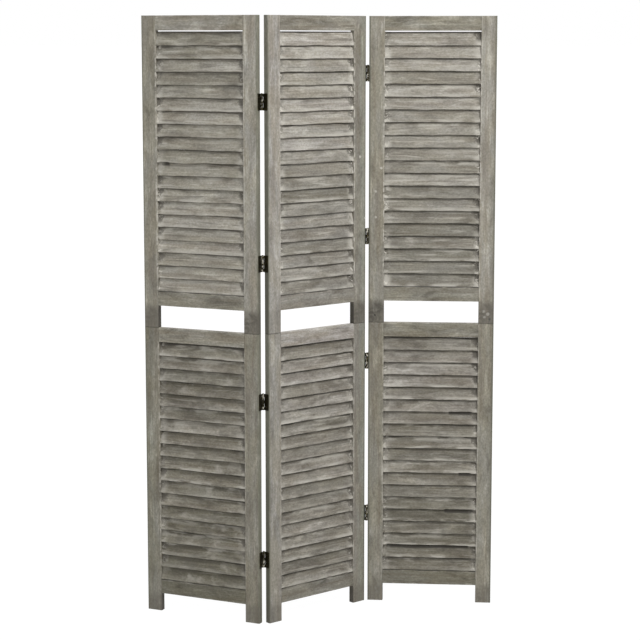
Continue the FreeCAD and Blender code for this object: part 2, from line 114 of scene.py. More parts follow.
# How blue each panel's boards are, and each bank of slats at its foot and head.
BOARD_BLUES = {"left": 0.985, "middle": 1.03, "right": 0.985}
BANK_BLUES = {
    ("left", "upper"): (0.975, 0.98), ("left", "lower"): (0.975, 1.0),
    ("middle", "upper"): (1.045, 0.995), ("middle", "lower"): (1.02, 1.03),
    ("right", "upper"): (1.03, 1.0), ("right", "lower"): (1.015, 1.025),
}
# Legs that are stained more or less than the others of their half: how much, and the stain's shade.
LEG_STAINS = {
    "left_upper_left_stile": (0.93, 0.9), "left_upper_right_stile": (1.0, 0.74),
    "middle_upper_left_stile": (0.42, 0.9), "middle_upper_right_stile": (1.0, 0.77),
    "right_upper_left_stile": (1.0, 0.55), "right_upper_right_stile": (1.0, 0.8),
}
USUAL_LEG_STAINS = {"upper": (1.0, 0.9), "lower": (0.6, 0.9)}
# How smeared the stiles' inner edges are beside the slats.
INNER_SMEARS = {"upper": 0.9, "lower": 0.45}
# Stiles with a green tinge on their outer half, and how much of it.
GREEN_STILES = {
    "middle_upper_right_stile": 1.0, "middle_lower_right_stile": 1.0, "left_lower_left_stile": 0.5,
}
# How a stile changes toward its outer edge: tone of its outer third, painted shade on its rim, and painted
# shade and stain on its end face.
STILE_EDGES = {
    "left_upper_left_stile": (0.1, 0.3, 1.0), "left_upper_right_stile": (0.05, 0.2, 0.6),
    "left_lower_left_stile": (0.05, 0.5, 1.0), "left_lower_right_stile": (0.0, 0.0, 0.3),
    "middle_upper_right_stile": (0.15, 0.5, 1.0), "middle_lower_right_stile": (0.05, 0.9, 1.0),
    "right_upper_left_stile": (0.0, 0.7, 1.0), "right_upper_right_stile": (-0.2, 0.4, 1.0),
    "right_lower_left_stile": (0.03, 0.6, 1.0), "right_lower_right_stile": (-0.1, 0.6, 1.0),
}
USUAL_STILE_EDGE = (0.0, 0.0, 1.0)
# Knots and bare spots: height above the board's foot, place across it, radius, and shade of the pale wash.
MARKS = {
    "middle_upper_right_stile": ((0.464, 0.021, 0.005, 1.0), (0.293, 0.039, 0.0035, 1.0)),
    "right_upper_left_stile": ((0.02, 0.018, 0.0035, 0.06), (0.432, 0.0345, 0.0042, 1.0),
                               (0.366, 0.019, 0.005, 0.9), (0.295, 0.0205, 0.0035, 0.85)),
    "right_upper_right_stile": ((0.034, 0.015, 0.0045, 0.62), (0.026, 0.026, 0.005, 0.66),
                                (0.018, 0.017, 0.004, 0.58), (0.012, 0.031, 0.0035, 0.12)),
}
# Split lower edges: the slat's number from below, where the split starts and ends along it, and its depth.
SPLITS = {
    ("right", "lower"): ((13, 0.188, 0.256, 0.0018), (8, 0.218, 0.256, 0.0015),
                         (5, 0.182, 0.264, 0.0018), (2, 0.015, 0.25, 0.0018)),
    ("left", "upper"): ((10, 0.012, 0.04, 0.0018),),
}
# Noises: cycles a metre each way, then detail, roughness and distortion.
NOISES = {
    "streak": ((9.0, 250.0, 250.0), 5.0, 0.6, 0.4),
    "band": ((3.0, 56.0, 56.0), 3.0, 0.5, 0.5),
    "patch": ((11.0, 32.0, 32.0), 4.0, 0.62, 0.6),
    "pores": ((42.0, 950.0, 950.0), 2.0, 0.5, 0.0),
    "fleck": ((150.0, 230.0, 230.0), 3.0, 0.65, 0.0),
    "drift": ((8.0, 24.0, 24.0), 3.0, 0.6, 0.5),
    "rubbing": ((34.0, 90.0, 90.0), 4.0, 0.6, 0.0),
    "rail_line": ((16.0, 40.0, 40.0), 3.0, 0.6, 0.0),
    "smudge": ((34.0, 34.0, 60.0), 4.0, 0.62, 1.0),
    "fibres": ((300.0, 620.0, 620.0), 3.0, 0.6, 0.0),
    "strokes": ((8.0, 105.0, 105.0), 3.0, 0.55, 0.6),
    "smoke": ((19.0, 27.0, 27.0), 4.0, 0.6, 0.35),
    "breakup": ((15.0, 60.0, 60.0), 4.0, 0.6, 0.0),
    "uneven": ((7.0, 0.0, 1.0), 2.0, 0.55, 0.0),
    "ragged": ((75.0, 110.0, 110.0), 4.0, 0.66, 0.8),
    "cloudy": ((38.0, 46.0, 46.0), 3.0, 0.6, 0.6),
    "mottle": ((160.0, 160.0, 160.0), 4.0, 0.6, 0.0),
    "bared_metal": ((230.0, 230.0, 150.0), 2.0, 0.55, 0.0),
    "metal_grit": ((2400.0, 2400.0, 2400.0), 2.0, 0.55, 0.0),
    "beech": ((260.0, 260.0, 900.0), 3.0, 0.55, 0.0),
}


# Settings

def length_setting(name, description, metres):
    return bpy.props.FloatProperty(name=name, description=description, default=metres, unit="LENGTH")


def angle_setting(name, description, degrees):
    return bpy.props.FloatProperty(
        name=name, description=description, default=math.radians(degrees), subtype="ANGLE")


def count_setting(name, description, number):
    return bpy.props.IntProperty(name=name, description=description, default=number)


def colour_setting(name, description, *colour):
    return bpy.props.FloatVectorProperty(
        name=name, description=description, default=colour, subtype="COLOR")


class ScreenSizes(bpy.types.PropertyGroup):
    """Sizes of the screen's pieces, as the frame has them"""

    left_turn: angle_setting("Left panel turn", "Turn of the left panel about the upright axis", -25)
    middle_turn: angle_setting("Middle panel turn", "Turn of the middle panel about the upright axis", 41)
    right_turn: angle_setting("Right panel turn", "Turn of the right panel about the upright axis", -5)
    panel_width: length_setting("Panel width", "One panel over both stiles", 0.35)
    panel_height: length_setting("Panel height", "Floor to the top of a panel", frame_box[1][2])
    frame_thickness: length_setting("Frame thickness", "Stiles and rails, front to back", 0.017)
    stile_width: length_setting("Stile width", "Face of a stile", 0.043)
    rail_height: length_setting("Rail height", "Face of a rail", 0.04)
    window_height: length_setting("Window height", "Open band between the two halves", 0.061)
    foot_length: length_setting("Foot length", "Stiles below the bottom rail", 0.05)
    joint_height: length_setting("Joint height", "Floor to the joint of the two halves", 0.802)
    upper_pitch: length_setting("Upper slat pitch", "Slat to slat in an upper half", 0.035)
    lower_pitch: length_setting("Lower slat pitch", "Slat to slat in a lower half", 0.632 / 18)
    slat_chord: length_setting("Slat width", "Width of a slat across its face", 0.0375)
    slat_thickness: length_setting("Slat thickness", "Thickness of a slat", 0.005)
    slat_length: length_setting("Slat length", "A slat from housing to housing", 0.2757)
    housing_depth: length_setting("Housing depth", "How far a slat goes into a stile", 0.00585)
    slat_tilt: angle_setting("Slat tilt", "Lean of a slat from upright", 14)
    lowest_upper_slat: length_setting("Lowest upper slat", "Axis of the upper half's last slat", 0.923)
    lowest_lower_slat: length_setting("Lowest lower slat", "Axis of the lower half's last slat", 0.11)
    upper_slats: count_setting("Upper slats", "Slats of an upper half", 20)
    lower_slats: count_setting("Lower slats", "Slats of a lower half", 19)
    pin_aside: length_setting("Pin aside", "Hinge pin to the stile's end face", 0.00315)
    pin_beyond: length_setting("Pin beyond", "Hinge pin to the panel's face", 0.0043)
    screw_spread: length_setting("Screw spread", "Hinge middle to a screw", 0.013)
    screw_from_pin: length_setting("Screw from pin", "Hinge pin to the line of screws", 0.011875)
    screw_seat: length_setting("Screw seat", "Hinge pin to the face of a leaf", 0.00165)


class ScreenFinish(bpy.types.PropertyGroup):
    """Colours of the wash, the bare wood and the hinges, and the wear of the slats' edges"""

    # Dark wash, also darkened into painted shade in crevices, corners and recesses
    dark_wash: colour_setting("Dark wash", "Wash that settled in the grain", 0.135, 0.122, 0.1)
    grey_wash: colour_setting("Grey wash", "Main tone of the wash", 0.275, 0.26, 0.223)
    pale_wash: colour_setting("Pale wash", "Dry pale streaks and worn edges", 0.5, 0.476, 0.42)
    warm_wood: colour_setting("Warm wood", "Wood that shows through", 0.262, 0.223, 0.172)
    # Greener wash on the outer edges, also darkened into painted shade on the stiles' rims and end faces
    edge_stain: colour_setting("Edge stain", "Greener wash on the outer edges", 0.165, 0.163, 0.122)
    green_tinge: colour_setting("Green tinge", "Tints the stiles that are a little green", 0.95, 1.0, 0.985)
    end_grain: colour_setting("End grain", "Wash soaked into cut ends", 0.16, 0.145, 0.118)
    bare_dowel: colour_setting("Bare dowel", "Beech dowels inside the joints", 0.5, 0.34, 0.19)
    bronze: colour_setting("Dark bronze", "Coat of the hinges", 0.03, 0.026, 0.014)
    rubbed_bronze: colour_setting("Rubbed bronze", "Coat worn by handling", 0.2, 0.175, 0.085)
    # Painted glints on the hinge knuckles
    knuckle_glint_colour: colour_setting("Bright steel", "Steel bared on the knuckles", 0.62, 0.59, 0.5)
    floor: colour_setting("Floor", "Plain pale floor", 0.86, 0.86, 0.85)
    edge_wave: length_setting("Edge wave", "How far a slat's lower edge wanders", 0.0032)
    rail_gap: length_setting("Rail gap", "What the last slat's lower edge comes down to close", 0.0013)
    head_gap: length_setting("Head gap", "What the first slat's upper edge comes up", 0.0009)


def sizes():
    return bpy.context.scene.screen_sizes


def finish():
    return bpy.context.scene.screen_finish


def panel_matrix(panel):
    """A panel's own frame: origin at its lower left front corner, X along it, Y to its back."""
    size = sizes()
    behind = size.frame_thickness + size.pin_beyond
    pin_x, pin_y = {
        "left": (size.panel_width + size.pin_aside, behind),
        "middle": (-size.pin_aside, behind),
        "right": (-size.pin_aside, -size.pin_beyond),
    }[panel]
    pin = PIN["right_fold" if panel == "right" else "left_fold"]
    turn = Matrix.Rotation(getattr(size, f"{panel}_turn"), 4, "Z")
    return Matrix.Translation((pin.x, pin.y, 0)) @ turn @ Matrix.Translation((-pin_x, -pin_y, 0))


# Shader helpers

def is_socket(given):
    return isinstance(given, bpy.types.NodeSocket)


def put(kind, inputs, tree=None, **settings):
    """Adds a node to a tree, or else to the tree of the sockets that it takes.

    Inputs are values or sockets, by name or number.
    """
    if tree is None:
        tree = next(filter(is_socket, inputs.values())).id_data
    node = tree.nodes.new(kind)
    for name, setting in settings.items():
        setattr(node, name, setting)
    for name, given in inputs.items():
        if is_socket(given):
            tree.links.new(given, node.inputs[name])
        else:
            node.inputs[name].default_value = given
    return node


def maths(operation, *numbers):
    return put("ShaderNodeMath", dict(enumerate(numbers)), operation=operation).outputs[0]


def times(first, second):
    return maths("MULTIPLY", first, second)


def vectors(operation, *given):
    return put("ShaderNodeVectorMath", dict(enumerate(given)), operation=operation).outputs


def parts_of(vector):
    return put("ShaderNodeSeparateXYZ", {0: vector}).outputs


def vector_of(*parts):
    return put("ShaderNodeCombineXYZ", dict(enumerate(parts))).outputs[0]


def ramp(number, low, high, to_low=0.0, to_high=1.0):
    """A smooth step from one value to another."""
    given = {"Value": number, "From Min": low, "From Max": high, "To Min": to_low, "To Max": to_high}
    return put("ShaderNodeMapRange", given, interpolation_type="SMOOTHSTEP").outputs["Result"]


def blend(factor, first, second, way="MIX"):
    given = {0: factor, 6: first, 7: second}
    return put("ShaderNodeMix", given, data_type="RGBA", blend_type=way).outputs[2]


def noise(place, name):
    """One of the named noises, on a place in metres."""
    stretch, detail, roughness, distortion = NOISES[name]
    scaled = vectors("MULTIPLY", place, stretch)[0]
    given = {"Vector": scaled, "Scale": 1.0, "Detail": detail, "Roughness": roughness,
             "Distortion": distortion}
    return put("ShaderNodeTexNoise", given).outputs[0]


def shade(colour, factor=1.0):
    """A colour as it is, darker or paler, and opaque."""
    return (*(factor * v for v in colour), 1.0)


def new_material(name):
    material = bpy.data.materials.new(name)
    material.use_nodes = True
    tree = material.node_tree
    return material, tree, tree.nodes["Principled BSDF"]


def new_group(name, inputs, outputs):
    """An empty shader group with named sockets, and its two ends."""
    tree = bpy.data.node_groups.new(name, "ShaderNodeTree")
    for label, kind in inputs:
        tree.interface.new_socket(label, in_out="INPUT", socket_type=f"NodeSocket{kind}")
    for label, kind in outputs:
        tree.interface.new_socket(label, in_out="OUTPUT", socket_type=f"NodeSocket{kind}")
    return tree, tree.nodes.new("NodeGroupInput").outputs, tree.nodes.new("NodeGroupOutput").inputs


# Washed wood

GRAIN_LABELS = ("Streak", "Band", "Patch", "Pores", "Fleck", "Drift")
# How far a board's seed moves it in the grain, each way.
SEED_STEPS = (3.71, 1.37, 2.19)
# Hues that the wash drifts between.
COOL_HUE = (0.99, 1.0, 1.025, 1.0)
WARM_HUE = (1.015, 1.0, 0.945, 1.0)
# How smoky a stile, a rail and the slats of each half are, and how much the hue of boards and slats drifts.
STILE_CLOUDS, RAIL_CLOUDS = 1.1, 1.5
SLAT_CLOUDS = {"upper": 1.1, "lower": 1.5}
BOARD_WARMTH, SLAT_WARMTH = 0.9, 0.6
# Height of the felt grain.
GRAIN_RELIEF = 0.0008


def weathered_grain():
    """Grain of a board: streaks, broad bands, cloudy patches, open pores, flecks and slow drifts of hue."""
    name = "weathered_grain"
    if name in bpy.data.node_groups:
        return bpy.data.node_groups[name]
    outputs = [(label, "Float") for label in (*GRAIN_LABELS, "Height")]
    tree, given, out = new_group(name, [("Place", "Vector"), ("Seed", "Float")], outputs)
    moved = vector_of(*(times(given["Seed"], step) for step in SEED_STEPS))
    place = vectors("ADD", given["Place"], moved)[0]
    values = {label: noise(place, label.lower()) for label in GRAIN_LABELS}
    values["Pores"] = ramp(values["Pores"], 0.6, 0.72)
    height = maths("MULTIPLY_ADD", values["Streak"], 0.7, times(values["Band"], 0.5))
    values["Height"] = maths("SUBTRACT", height, times(values["Pores"], 0.35))
    for label, socket in values.items():
        tree.links.new(socket, out[label])
    return tree


def grey_wash():
    """Colour of the wash over a board's grain. Clouds is how smoky it is, Warmth how much its hue drifts."""
    name = "grey_wash"
    if name in bpy.data.node_groups:
        return bpy.data.node_groups[name]
    inputs = [(label, "Float") for label in (*GRAIN_LABELS, "Clouds", "Warmth", "Tone")]
    inputs += [(label, "Color") for label in ("Dark", "Grey", "Pale", "Warm", "Cast")]
    tree, given, out = new_group(name, inputs, [("Color", "Color")])
    settled = maths("MULTIPLY_ADD", given["Band"], 0.62, times(given["Streak"], 0.38))
    colour = blend(ramp(settled, 0.34, 0.54, 0.45, 1.0), given["Dark"], given["Grey"])
    smoke = times(ramp(given["Patch"], 0.5, 0.3, 0.0, 0.6), given["Clouds"])
    colour = blend(smoke, colour, given["Dark"])
    bared = times(ramp(given["Band"], 0.58, 0.4, 0.0, 0.3), given["Warmth"])
    colour = blend(bared, colour, given["Warm"])
    dry = times(ramp(given["Streak"], 0.5, 0.68), ramp(given["Patch"], 0.44, 0.64))
    colour = blend(times(dry, 0.55), colour, given["Pale"])
    cloud = times(ramp(given["Patch"], 0.54, 0.74, 0.0, 0.42), given["Clouds"])
    colour = blend(cloud, colour, given["Pale"])
    colour = blend(times(given["Pores"], 0.4), colour, given["Dark"])
    drift = ramp(given["Drift"], 0.36, 0.64, -0.5, 0.5)
    drifted = maths("MULTIPLY_ADD", drift, given["Warmth"], 0.5)
    hue = blend(drifted, COOL_HUE, WARM_HUE)
    colour = blend(1.0, colour, hue, "MULTIPLY")
    colour = blend(1.0, colour, given["Cast"], "MULTIPLY")
    level = times(given["Tone"], ramp(given["Fleck"], 0.3, 0.7, 0.83, 1.16))
    cooler = maths("POWER", level, 1.15)
    tone = put("ShaderNodeCombineColor", {0: level, 1: level, 2: cooler}).outputs[0]
    tree.links.new(blend(1.0, colour, tone, "MULTIPLY"), out["Color"])
    return tree


def worn_edge():
    """Where the long edges of a bar are rubbed, broken up along their length."""
    name = "worn_edge"
    if name in bpy.data.node_groups:
        return bpy.data.node_groups[name]
    inputs = [("Place", "Vector")] + [(label, "Float") for label in ("Width", "Thickness", "Reach", "Seed")]
    tree, given, out = new_group(name, inputs, [("Mask", "Float")])
    parts = parts_of(given["Place"])
    across = maths("MINIMUM", parts[1], maths("SUBTRACT", given["Width"], parts[1]))
    through = maths("MINIMUM", parts[2], maths("SUBTRACT", given["Thickness"], parts[2]))
    away = maths("ADD", maths("ABSOLUTE", across), maths("ABSOLUTE", through))
    near = ramp(maths("DIVIDE", away, given["Reach"]), 1.0, 0.2)
    moved = vector_of(given["Seed"], given["Seed"], given["Seed"])
    place = vectors("ADD", given["Place"], moved)[0]
    broken = ramp(noise(place, "rubbing"), 0.47, 0.66)
    tree.links.new(times(near, broken), out["Mask"])
    return tree


def wash_sockets(place, seed, tone, clouds, warmth, cast):
    """The wash's colour and the grain's values on a piece."""
    look = finish()
    grain = put("ShaderNodeGroup", {"Place": place, "Seed": seed}, node_tree=weathered_grain())
    given = {label: grain.outputs[label] for label in GRAIN_LABELS}
    given.update({"Clouds": clouds, "Warmth": warmth, "Tone": tone, "Cast": cast})
    given.update({"Dark": shade(look.dark_wash), "Grey": shade(look.grey_wash)})
    given.update({"Pale": shade(look.pale_wash), "Warm": shade(look.warm_wood)})
    wash = put("ShaderNodeGroup", given, node_tree=grey_wash())
    return wash.outputs["Color"], grain.outputs


def finish_wood(tree, shader, colour, grain):
    """Sends a washed colour to the shader, with a dry sheen and a felt grain."""
    tree.links.new(colour, shader.inputs["Base Color"])
    tree.links.new(ramp(grain["Streak"], 0.3, 0.7, 0.86, 0.66), shader.inputs["Roughness"])
    shader.inputs["Specular IOR Level"].default_value = 0.3
    relief = {"Strength": 0.5, "Distance": GRAIN_RELIEF, "Height": grain["Height"]}
    tree.links.new(put("ShaderNodeBump", relief).outputs[0], shader.inputs["Normal"])


# Wood of the stiles and rails

# How far rubbing reaches from a bar's long edges.
EDGE_WEAR = 0.0045
# Where a mark starts and where it is full, in metres from a bar's top, inner edge, outer edge or joint.
RAIL_TOP_SHADE = (0.0028, 0.0008)
INNER_SMEAR = (0.005, 0.001)
INNER_FACE_SHADE = (0.0012, 0.0002)
OUTER_LINE = (0.0055, 0.0012)
OUTER_THIRD = (0.018, 0.011)
OUTER_HALF = (0.03, 0.016)
OUTER_RIM_SHADE = (0.0052, 0.0034)
END_FACE = (0.001, 0.0001)
JOINT_SEAM = (0.0022, 0.0006)
# Height above a stile's foot where the painted shade and stain on its end face start to darken, and where
# they are darkest.
END_SHADE_AND_STAIN = (0.6, 0.1)
# How far smears go past the slats and stop being full before their ends, and the same for a leg's stain.
SMEAR_PAST, SMEAR_SHORT = 0.004, 0.01
STAIN_PAST, STAIN_SHORT = 0.012, 0.014


def bar_place(object_place, panel, start, upright):
    """A place on a bar, from its corner in the panel's frame: along it, across its face, through it."""
    inverse = panel_matrix(panel).inverted()
    given = {"Vector": object_place, "Location": inverse.translation - Vector(start),
             "Rotation": inverse.to_euler()}
    parts = parts_of(put("ShaderNodeMapping", given).outputs[0])
    order = (2, 0, 1) if upright else (0, 2, 1)
    return vector_of(*(parts[axis] for axis in order))


def inner_smears(colour, along, to_inner, smudge, stile):
    """Pale smears along a stile's inner edge, where the slats go in."""
    first, last = stile["slats"]
    beside = times(ramp(along, first - SMEAR_PAST, first + SMEAR_SHORT),
                   ramp(along, last + SMEAR_PAST, last - SMEAR_SHORT))
    smear = times(ramp(to_inner, *INNER_SMEAR), ramp(smudge, 0.5, 0.64, 0.0, stile["smear"]))
    return blend(times(smear, beside), colour, shade(finish().pale_wash))


def outer_stains_and_shade(colour, along, to_outer, smudge, stile):
    """A stile's outer side: a stained line that is partly painted shade on the rounded edge, its outer
    third's tone, a rim of painted shade, painted shade and stain on its end face, a green tinge.
    """
    look = finish()
    outer_tone, rim_shade, end_shade_and_stain = stile["edge"]
    # A stained line along the outer edge, partly painted shade on the rounded edge
    line = times(ramp(to_outer, *OUTER_LINE), ramp(smudge, 0.35, 0.6, 0.45, 0.85))
    colour = blend(line, colour, shade(look.edge_stain))
    outer_third = ramp(to_outer, *OUTER_THIRD, 1.0, 1.0 + outer_tone)
    colour = blend(1.0, colour, outer_third, "MULTIPLY")
    # Painted shade along the rim of the outer edge
    rim_shade_mask = ramp(to_outer, *OUTER_RIM_SHADE, 0.0, rim_shade)
    colour = blend(rim_shade_mask, colour, shade(look.edge_stain, 0.7))
    # Painted shade and stain on the end face, deeper toward the foot
    end_face_shade_and_stain = times(ramp(to_outer, *END_FACE),
                     ramp(along, *END_SHADE_AND_STAIN, 0.1 * end_shade_and_stain, 0.65 * end_shade_and_stain))
    colour = blend(end_face_shade_and_stain, colour, shade(look.edge_stain, 0.5))
    tinge = times(ramp(to_outer, *OUTER_HALF, 0.0, stile["green"]),
                  ramp(smudge, 0.35, 0.55, 0.3, 1.0))
    return blend(tinge, colour, shade(look.green_tinge), "MULTIPLY")


def leg_stains_and_shade(colour, along, to_inner, smudge, stile):
    """The stained leg below a stile's lower rail, with painted shade on its inner face, and a dark seam at
    the joint.
    """
    dark = finish().dark_wash
    on_leg = ramp(along, stile["leg"] + STAIN_PAST, stile["leg"] - STAIN_SHORT)
    stain = times(on_leg, ramp(smudge, 0.3, 0.6, stile["stain"], 0.6 * stile["stain"]))
    colour = blend(stain, colour, shade(dark, stile["stain_shade"]))
    # Painted shade on the leg's inner face, beside the window or between the feet
    inside = times(on_leg, ramp(to_inner, *INNER_FACE_SHADE, 0.0, 0.85))
    colour = blend(inside, colour, shade(dark, 0.45))
    to_joint = maths("ABSOLUTE", maths("SUBTRACT", along, stile["joint"]))
    seam = times(ramp(to_joint, *JOINT_SEAM), ramp(smudge, 0.35, 0.6, 0.9, 0.55))
    return blend(seam, colour, shade(dark, 0.45))


def knots(colour, place, smudge, marks):
    """Knots and bare spots with uneven outlines."""
    for up, across, radius, paleness in marks:
        away = vectors("DISTANCE", place, (up, across, 0.0))["Value"]
        away = maths("ADD", away, ramp(smudge, 0.3, 0.7, -0.4 * radius, 0.4 * radius))
        mark = ramp(away, radius, 0.5 * radius, 0.0, 0.8)
        colour = blend(mark, colour, shade(finish().pale_wash, paleness))
    return colour


def cut_ends(colour, place, normal):
    """Soaked end grain on faces that look up or down."""
    look = finish()
    facing = maths("ABSOLUTE", parts_of(normal)[2])
    fibres = ramp(noise(place, "fibres"), 0.35, 0.65)
    soaked = blend(fibres, shade(look.end_grain), shade(look.grey_wash))
    return blend(ramp(facing, 0.75, 0.95, 0.0, 0.8), colour, soaked)


def bar_material(name, panel, start, upright, width, seed, tone, stile=None, under_slats=False):
    """Washed wood of a stile or a rail, with rubbed edges. start is the bar's corner in the panel's frame.

    stile says what a stile has beyond that, as SCREEN_OT_frames gives it. A rail under slats has a line of
    painted shade along its top, under the last slat.
    """
    material, tree, shader = new_material(name)
    look = finish()
    coordinates = tree.nodes.new("ShaderNodeTexCoord").outputs
    place = bar_place(coordinates["Object"], panel, start, upright)
    clouds = STILE_CLOUDS if upright else RAIL_CLOUDS
    cast = (1.0, 1.0, BOARD_BLUES[panel], 1.0)
    colour, grain = wash_sockets(place, seed, tone, clouds, BOARD_WARMTH, cast)
    edge = put("ShaderNodeGroup", {
        "Place": place, "Width": width, "Thickness": sizes().frame_thickness, "Reach": EDGE_WEAR,
        "Seed": seed}, node_tree=worn_edge())
    colour = blend(times(edge.outputs["Mask"], 0.5), colour, shade(look.pale_wash))
    along, across, _ = parts_of(place)
    if under_slats:
        # Painted shade along the rail's top, in the crevice under the last slat
        from_top = maths("SUBTRACT", width, across)
        broken = ramp(noise(place, "rail_line"), 0.36, 0.56, 0.15, 0.85)
        line = times(ramp(from_top, *RAIL_TOP_SHADE), broken)
        colour = blend(line, colour, shade(look.dark_wash, 0.4))
    if stile:
        smudge = noise(place, "smudge")
        to_inner = maths("ABSOLUTE", maths("SUBTRACT", across, stile["inner_edge"]))
        to_outer = maths("SUBTRACT", width, to_inner)
        colour = inner_smears(colour, along, to_inner, smudge, stile)
        colour = outer_stains_and_shade(colour, along, to_outer, smudge, stile)
        colour = leg_stains_and_shade(colour, along, to_inner, smudge, stile)
        colour = knots(colour, place, smudge, stile["marks"])
        colour = cut_ends(colour, place, coordinates["Normal"])
    finish_wood(tree, shader, colour, grain)
    return material


# Wood of the slats

# How far from a slat's ends its painted crevice shade widens, and how far its smears, specks and painted
# corner shade reach.
CREVICE_OPENS = (0.075, 0.006)
END_SMEAR = (0.026, 0.004)
END_SPECKS = (0.018, 0.004)
CORNER_SHADE_REACH = (0.002, 0.014)
CORNER_SHADE_SPREAD = 0.02
# How much of the upper slats' pale ends the lower slats have.
LOWER_PALE_ENDS = 0.6
# Steps of luck, a left and a right end's own.
END_LUCK = (7.13, 13.7)
# Red of the lower slats, which are a little warmer.
LOWER_RED = 1.012


def slat_sockets(tree):
    """A slat's own values: along it, up its face, its seed, the place in its grain, its height and split."""
    stored, split = (put("ShaderNodeAttribute", {}, tree, attribute_name=name).outputs
                     for name in ("slat_place", "under_split"))
    along, up_face, seed = parts_of(stored["Vector"])
    place = vector_of(along, times(up_face, sizes().slat_chord), times(seed, 3.0))
    height = parts_of(tree.nodes.new("ShaderNodeTexCoord").outputs["Object"])[2]
    return SimpleNamespace(along=along, up_face=up_face, seed=seed, place=place, height=height,
                           under_split=split["Fac"])


def luck(slat, turns, low, high, to_low=0.0, to_high=1.0):
    """A value of each slat's own, spread between two values."""
    return ramp(maths("FRACT", times(slat.seed, turns)), low, high, to_low, to_high)


def bank_wash(slat, panel, half, smoke_and_shade):
    """A slat's wash, by its place in the bank and its luck, with painted shade on a lower slat's face,
    darker toward the slat above and more so where it is smoky.
    """
    foot = getattr(sizes(), f"lowest_{half}_slat")
    span = (foot, foot + BANK_SPAN)
    level = ramp(slat.height, *span, *BANK_TONES[panel, half])
    for middle, change in BANK_BANDS.get((panel, half), ()):
        away = maths("ABSOLUTE", maths("SUBTRACT", slat.height, middle))
        level = times(level, ramp(away, *BAND_REACH, 1.0, 1.0 + change))
    level = times(level, luck(slat, 1.0, 0.0, 1.0, 0.88, 1.14))
    # Painted shade: darker toward the slat above, paler toward the lower edge
    shade_toward_slat_above = 0.2 * smoke_and_shade
    level = times(level, ramp(slat.up_face, 0.15, 0.85, 1.0 + 0.8 * shade_toward_slat_above, 1.0 - shade_toward_slat_above))
    blue = ramp(slat.height, *span, *BANK_BLUES[panel, half])
    cast = vector_of(LOWER_RED if half == "lower" else 1.0, 1.0, blue)
    seed = times(slat.seed, 41.0)
    return wash_sockets(slat.place, seed, level, SLAT_CLOUDS[half], SLAT_WARMTH, cast)


def brush_strokes(colour, slat, low_half, smoke_and_shade):
    """Dark and pale strokes along a slat, and smoke over a lower slat."""
    look = finish()
    strokes = noise(slat.place, "strokes")
    dark_stroke = ramp(strokes, 0.45, 0.3, 0.0, 0.55 - 0.2 * smoke_and_shade)
    colour = blend(dark_stroke, colour, shade(look.dark_wash, 0.9))
    pale_stroke = ramp(strokes, 0.57, 0.72, 0.0, 0.3 if low_half else 0.5)
    colour = blend(pale_stroke, colour, shade(look.pale_wash))
    if low_half:
        smoke = noise(slat.place, "smoke")
        dark_smoke = ramp(smoke, 0.5, 0.32, 0.0, 0.5 * smoke_and_shade)
        colour = blend(dark_smoke, colour, shade(look.dark_wash, 0.8))
        pale_smoke = ramp(smoke, 0.54, 0.74, 0.0, 0.4 * smoke_and_shade)
        colour = blend(pale_smoke, colour, shade(look.pale_wash))
    return colour


def worn_face(colour, slat, breakup, low_half):
    """A slat's pale lower edge, pale rubbing higher on its face, and painted shade near the slat above."""
    look = finish()
    lower = times(ramp(slat.up_face, 0.34, 0.03), ramp(breakup, 0.4, 0.62))
    lower = times(lower, luck(slat, 11.3, 0.2, 0.9, 0.25, 0.8))
    colour = blend(lower, colour, shade(look.pale_wash))
    upper = times(ramp(slat.up_face, 0.4, 0.75), ramp(breakup, 0.43, 0.6))
    upper = times(upper, luck(slat, 17.9, 0.35, 0.95, 0.0, 0.5))
    colour = blend(upper, colour, shade(look.pale_wash))
    # Painted shade on the upper part of the face, under the slat above
    under_slat_shade = times(ramp(slat.up_face, 0.45, 0.92), ramp(breakup, 0.58, 0.36))
    under_slat_shade = times(under_slat_shade, 0.7 if low_half else 0.35)
    return blend(under_slat_shade, colour, shade(look.dark_wash, 0.8))


def crevice_shade(colour, slat, breakup, low_half):
    """Painted shade in the crevice under the slat above, wider toward some ends and under a split edge."""
    from_end = maths("MINIMUM", slat.along, maths("SUBTRACT", sizes().slat_length, slat.along))
    opened = times(ramp(from_end, *CREVICE_OPENS), luck(slat, 5.7, 0.3, 1.0, 0.0, 0.13))
    uneven = ramp(noise(slat.place, "uneven"), 0.46, 0.66, -0.01, 0.06)
    reached = maths("ADD", slat.up_face, maths("ADD", opened, uneven))
    # Painted shade in the crevice under the slat above
    crevice_shade_mask = ramp(reached, 0.865, 0.93, 0.0, 0.85 if low_half else 0.66)
    crevice_shade_mask = times(crevice_shade_mask, ramp(breakup, 0.3, 0.5, 0.5, 1.0))
    # Painted shade where a split edge above opens the crevice wider
    split = times(slat.under_split, ramp(reached, 0.66, 0.8, 0.0, 0.9))
    crevice_shade_mask = maths("MAXIMUM", crevice_shade_mask, split)
    return blend(crevice_shade_mask, colour, shade(finish().dark_wash, 0.32))


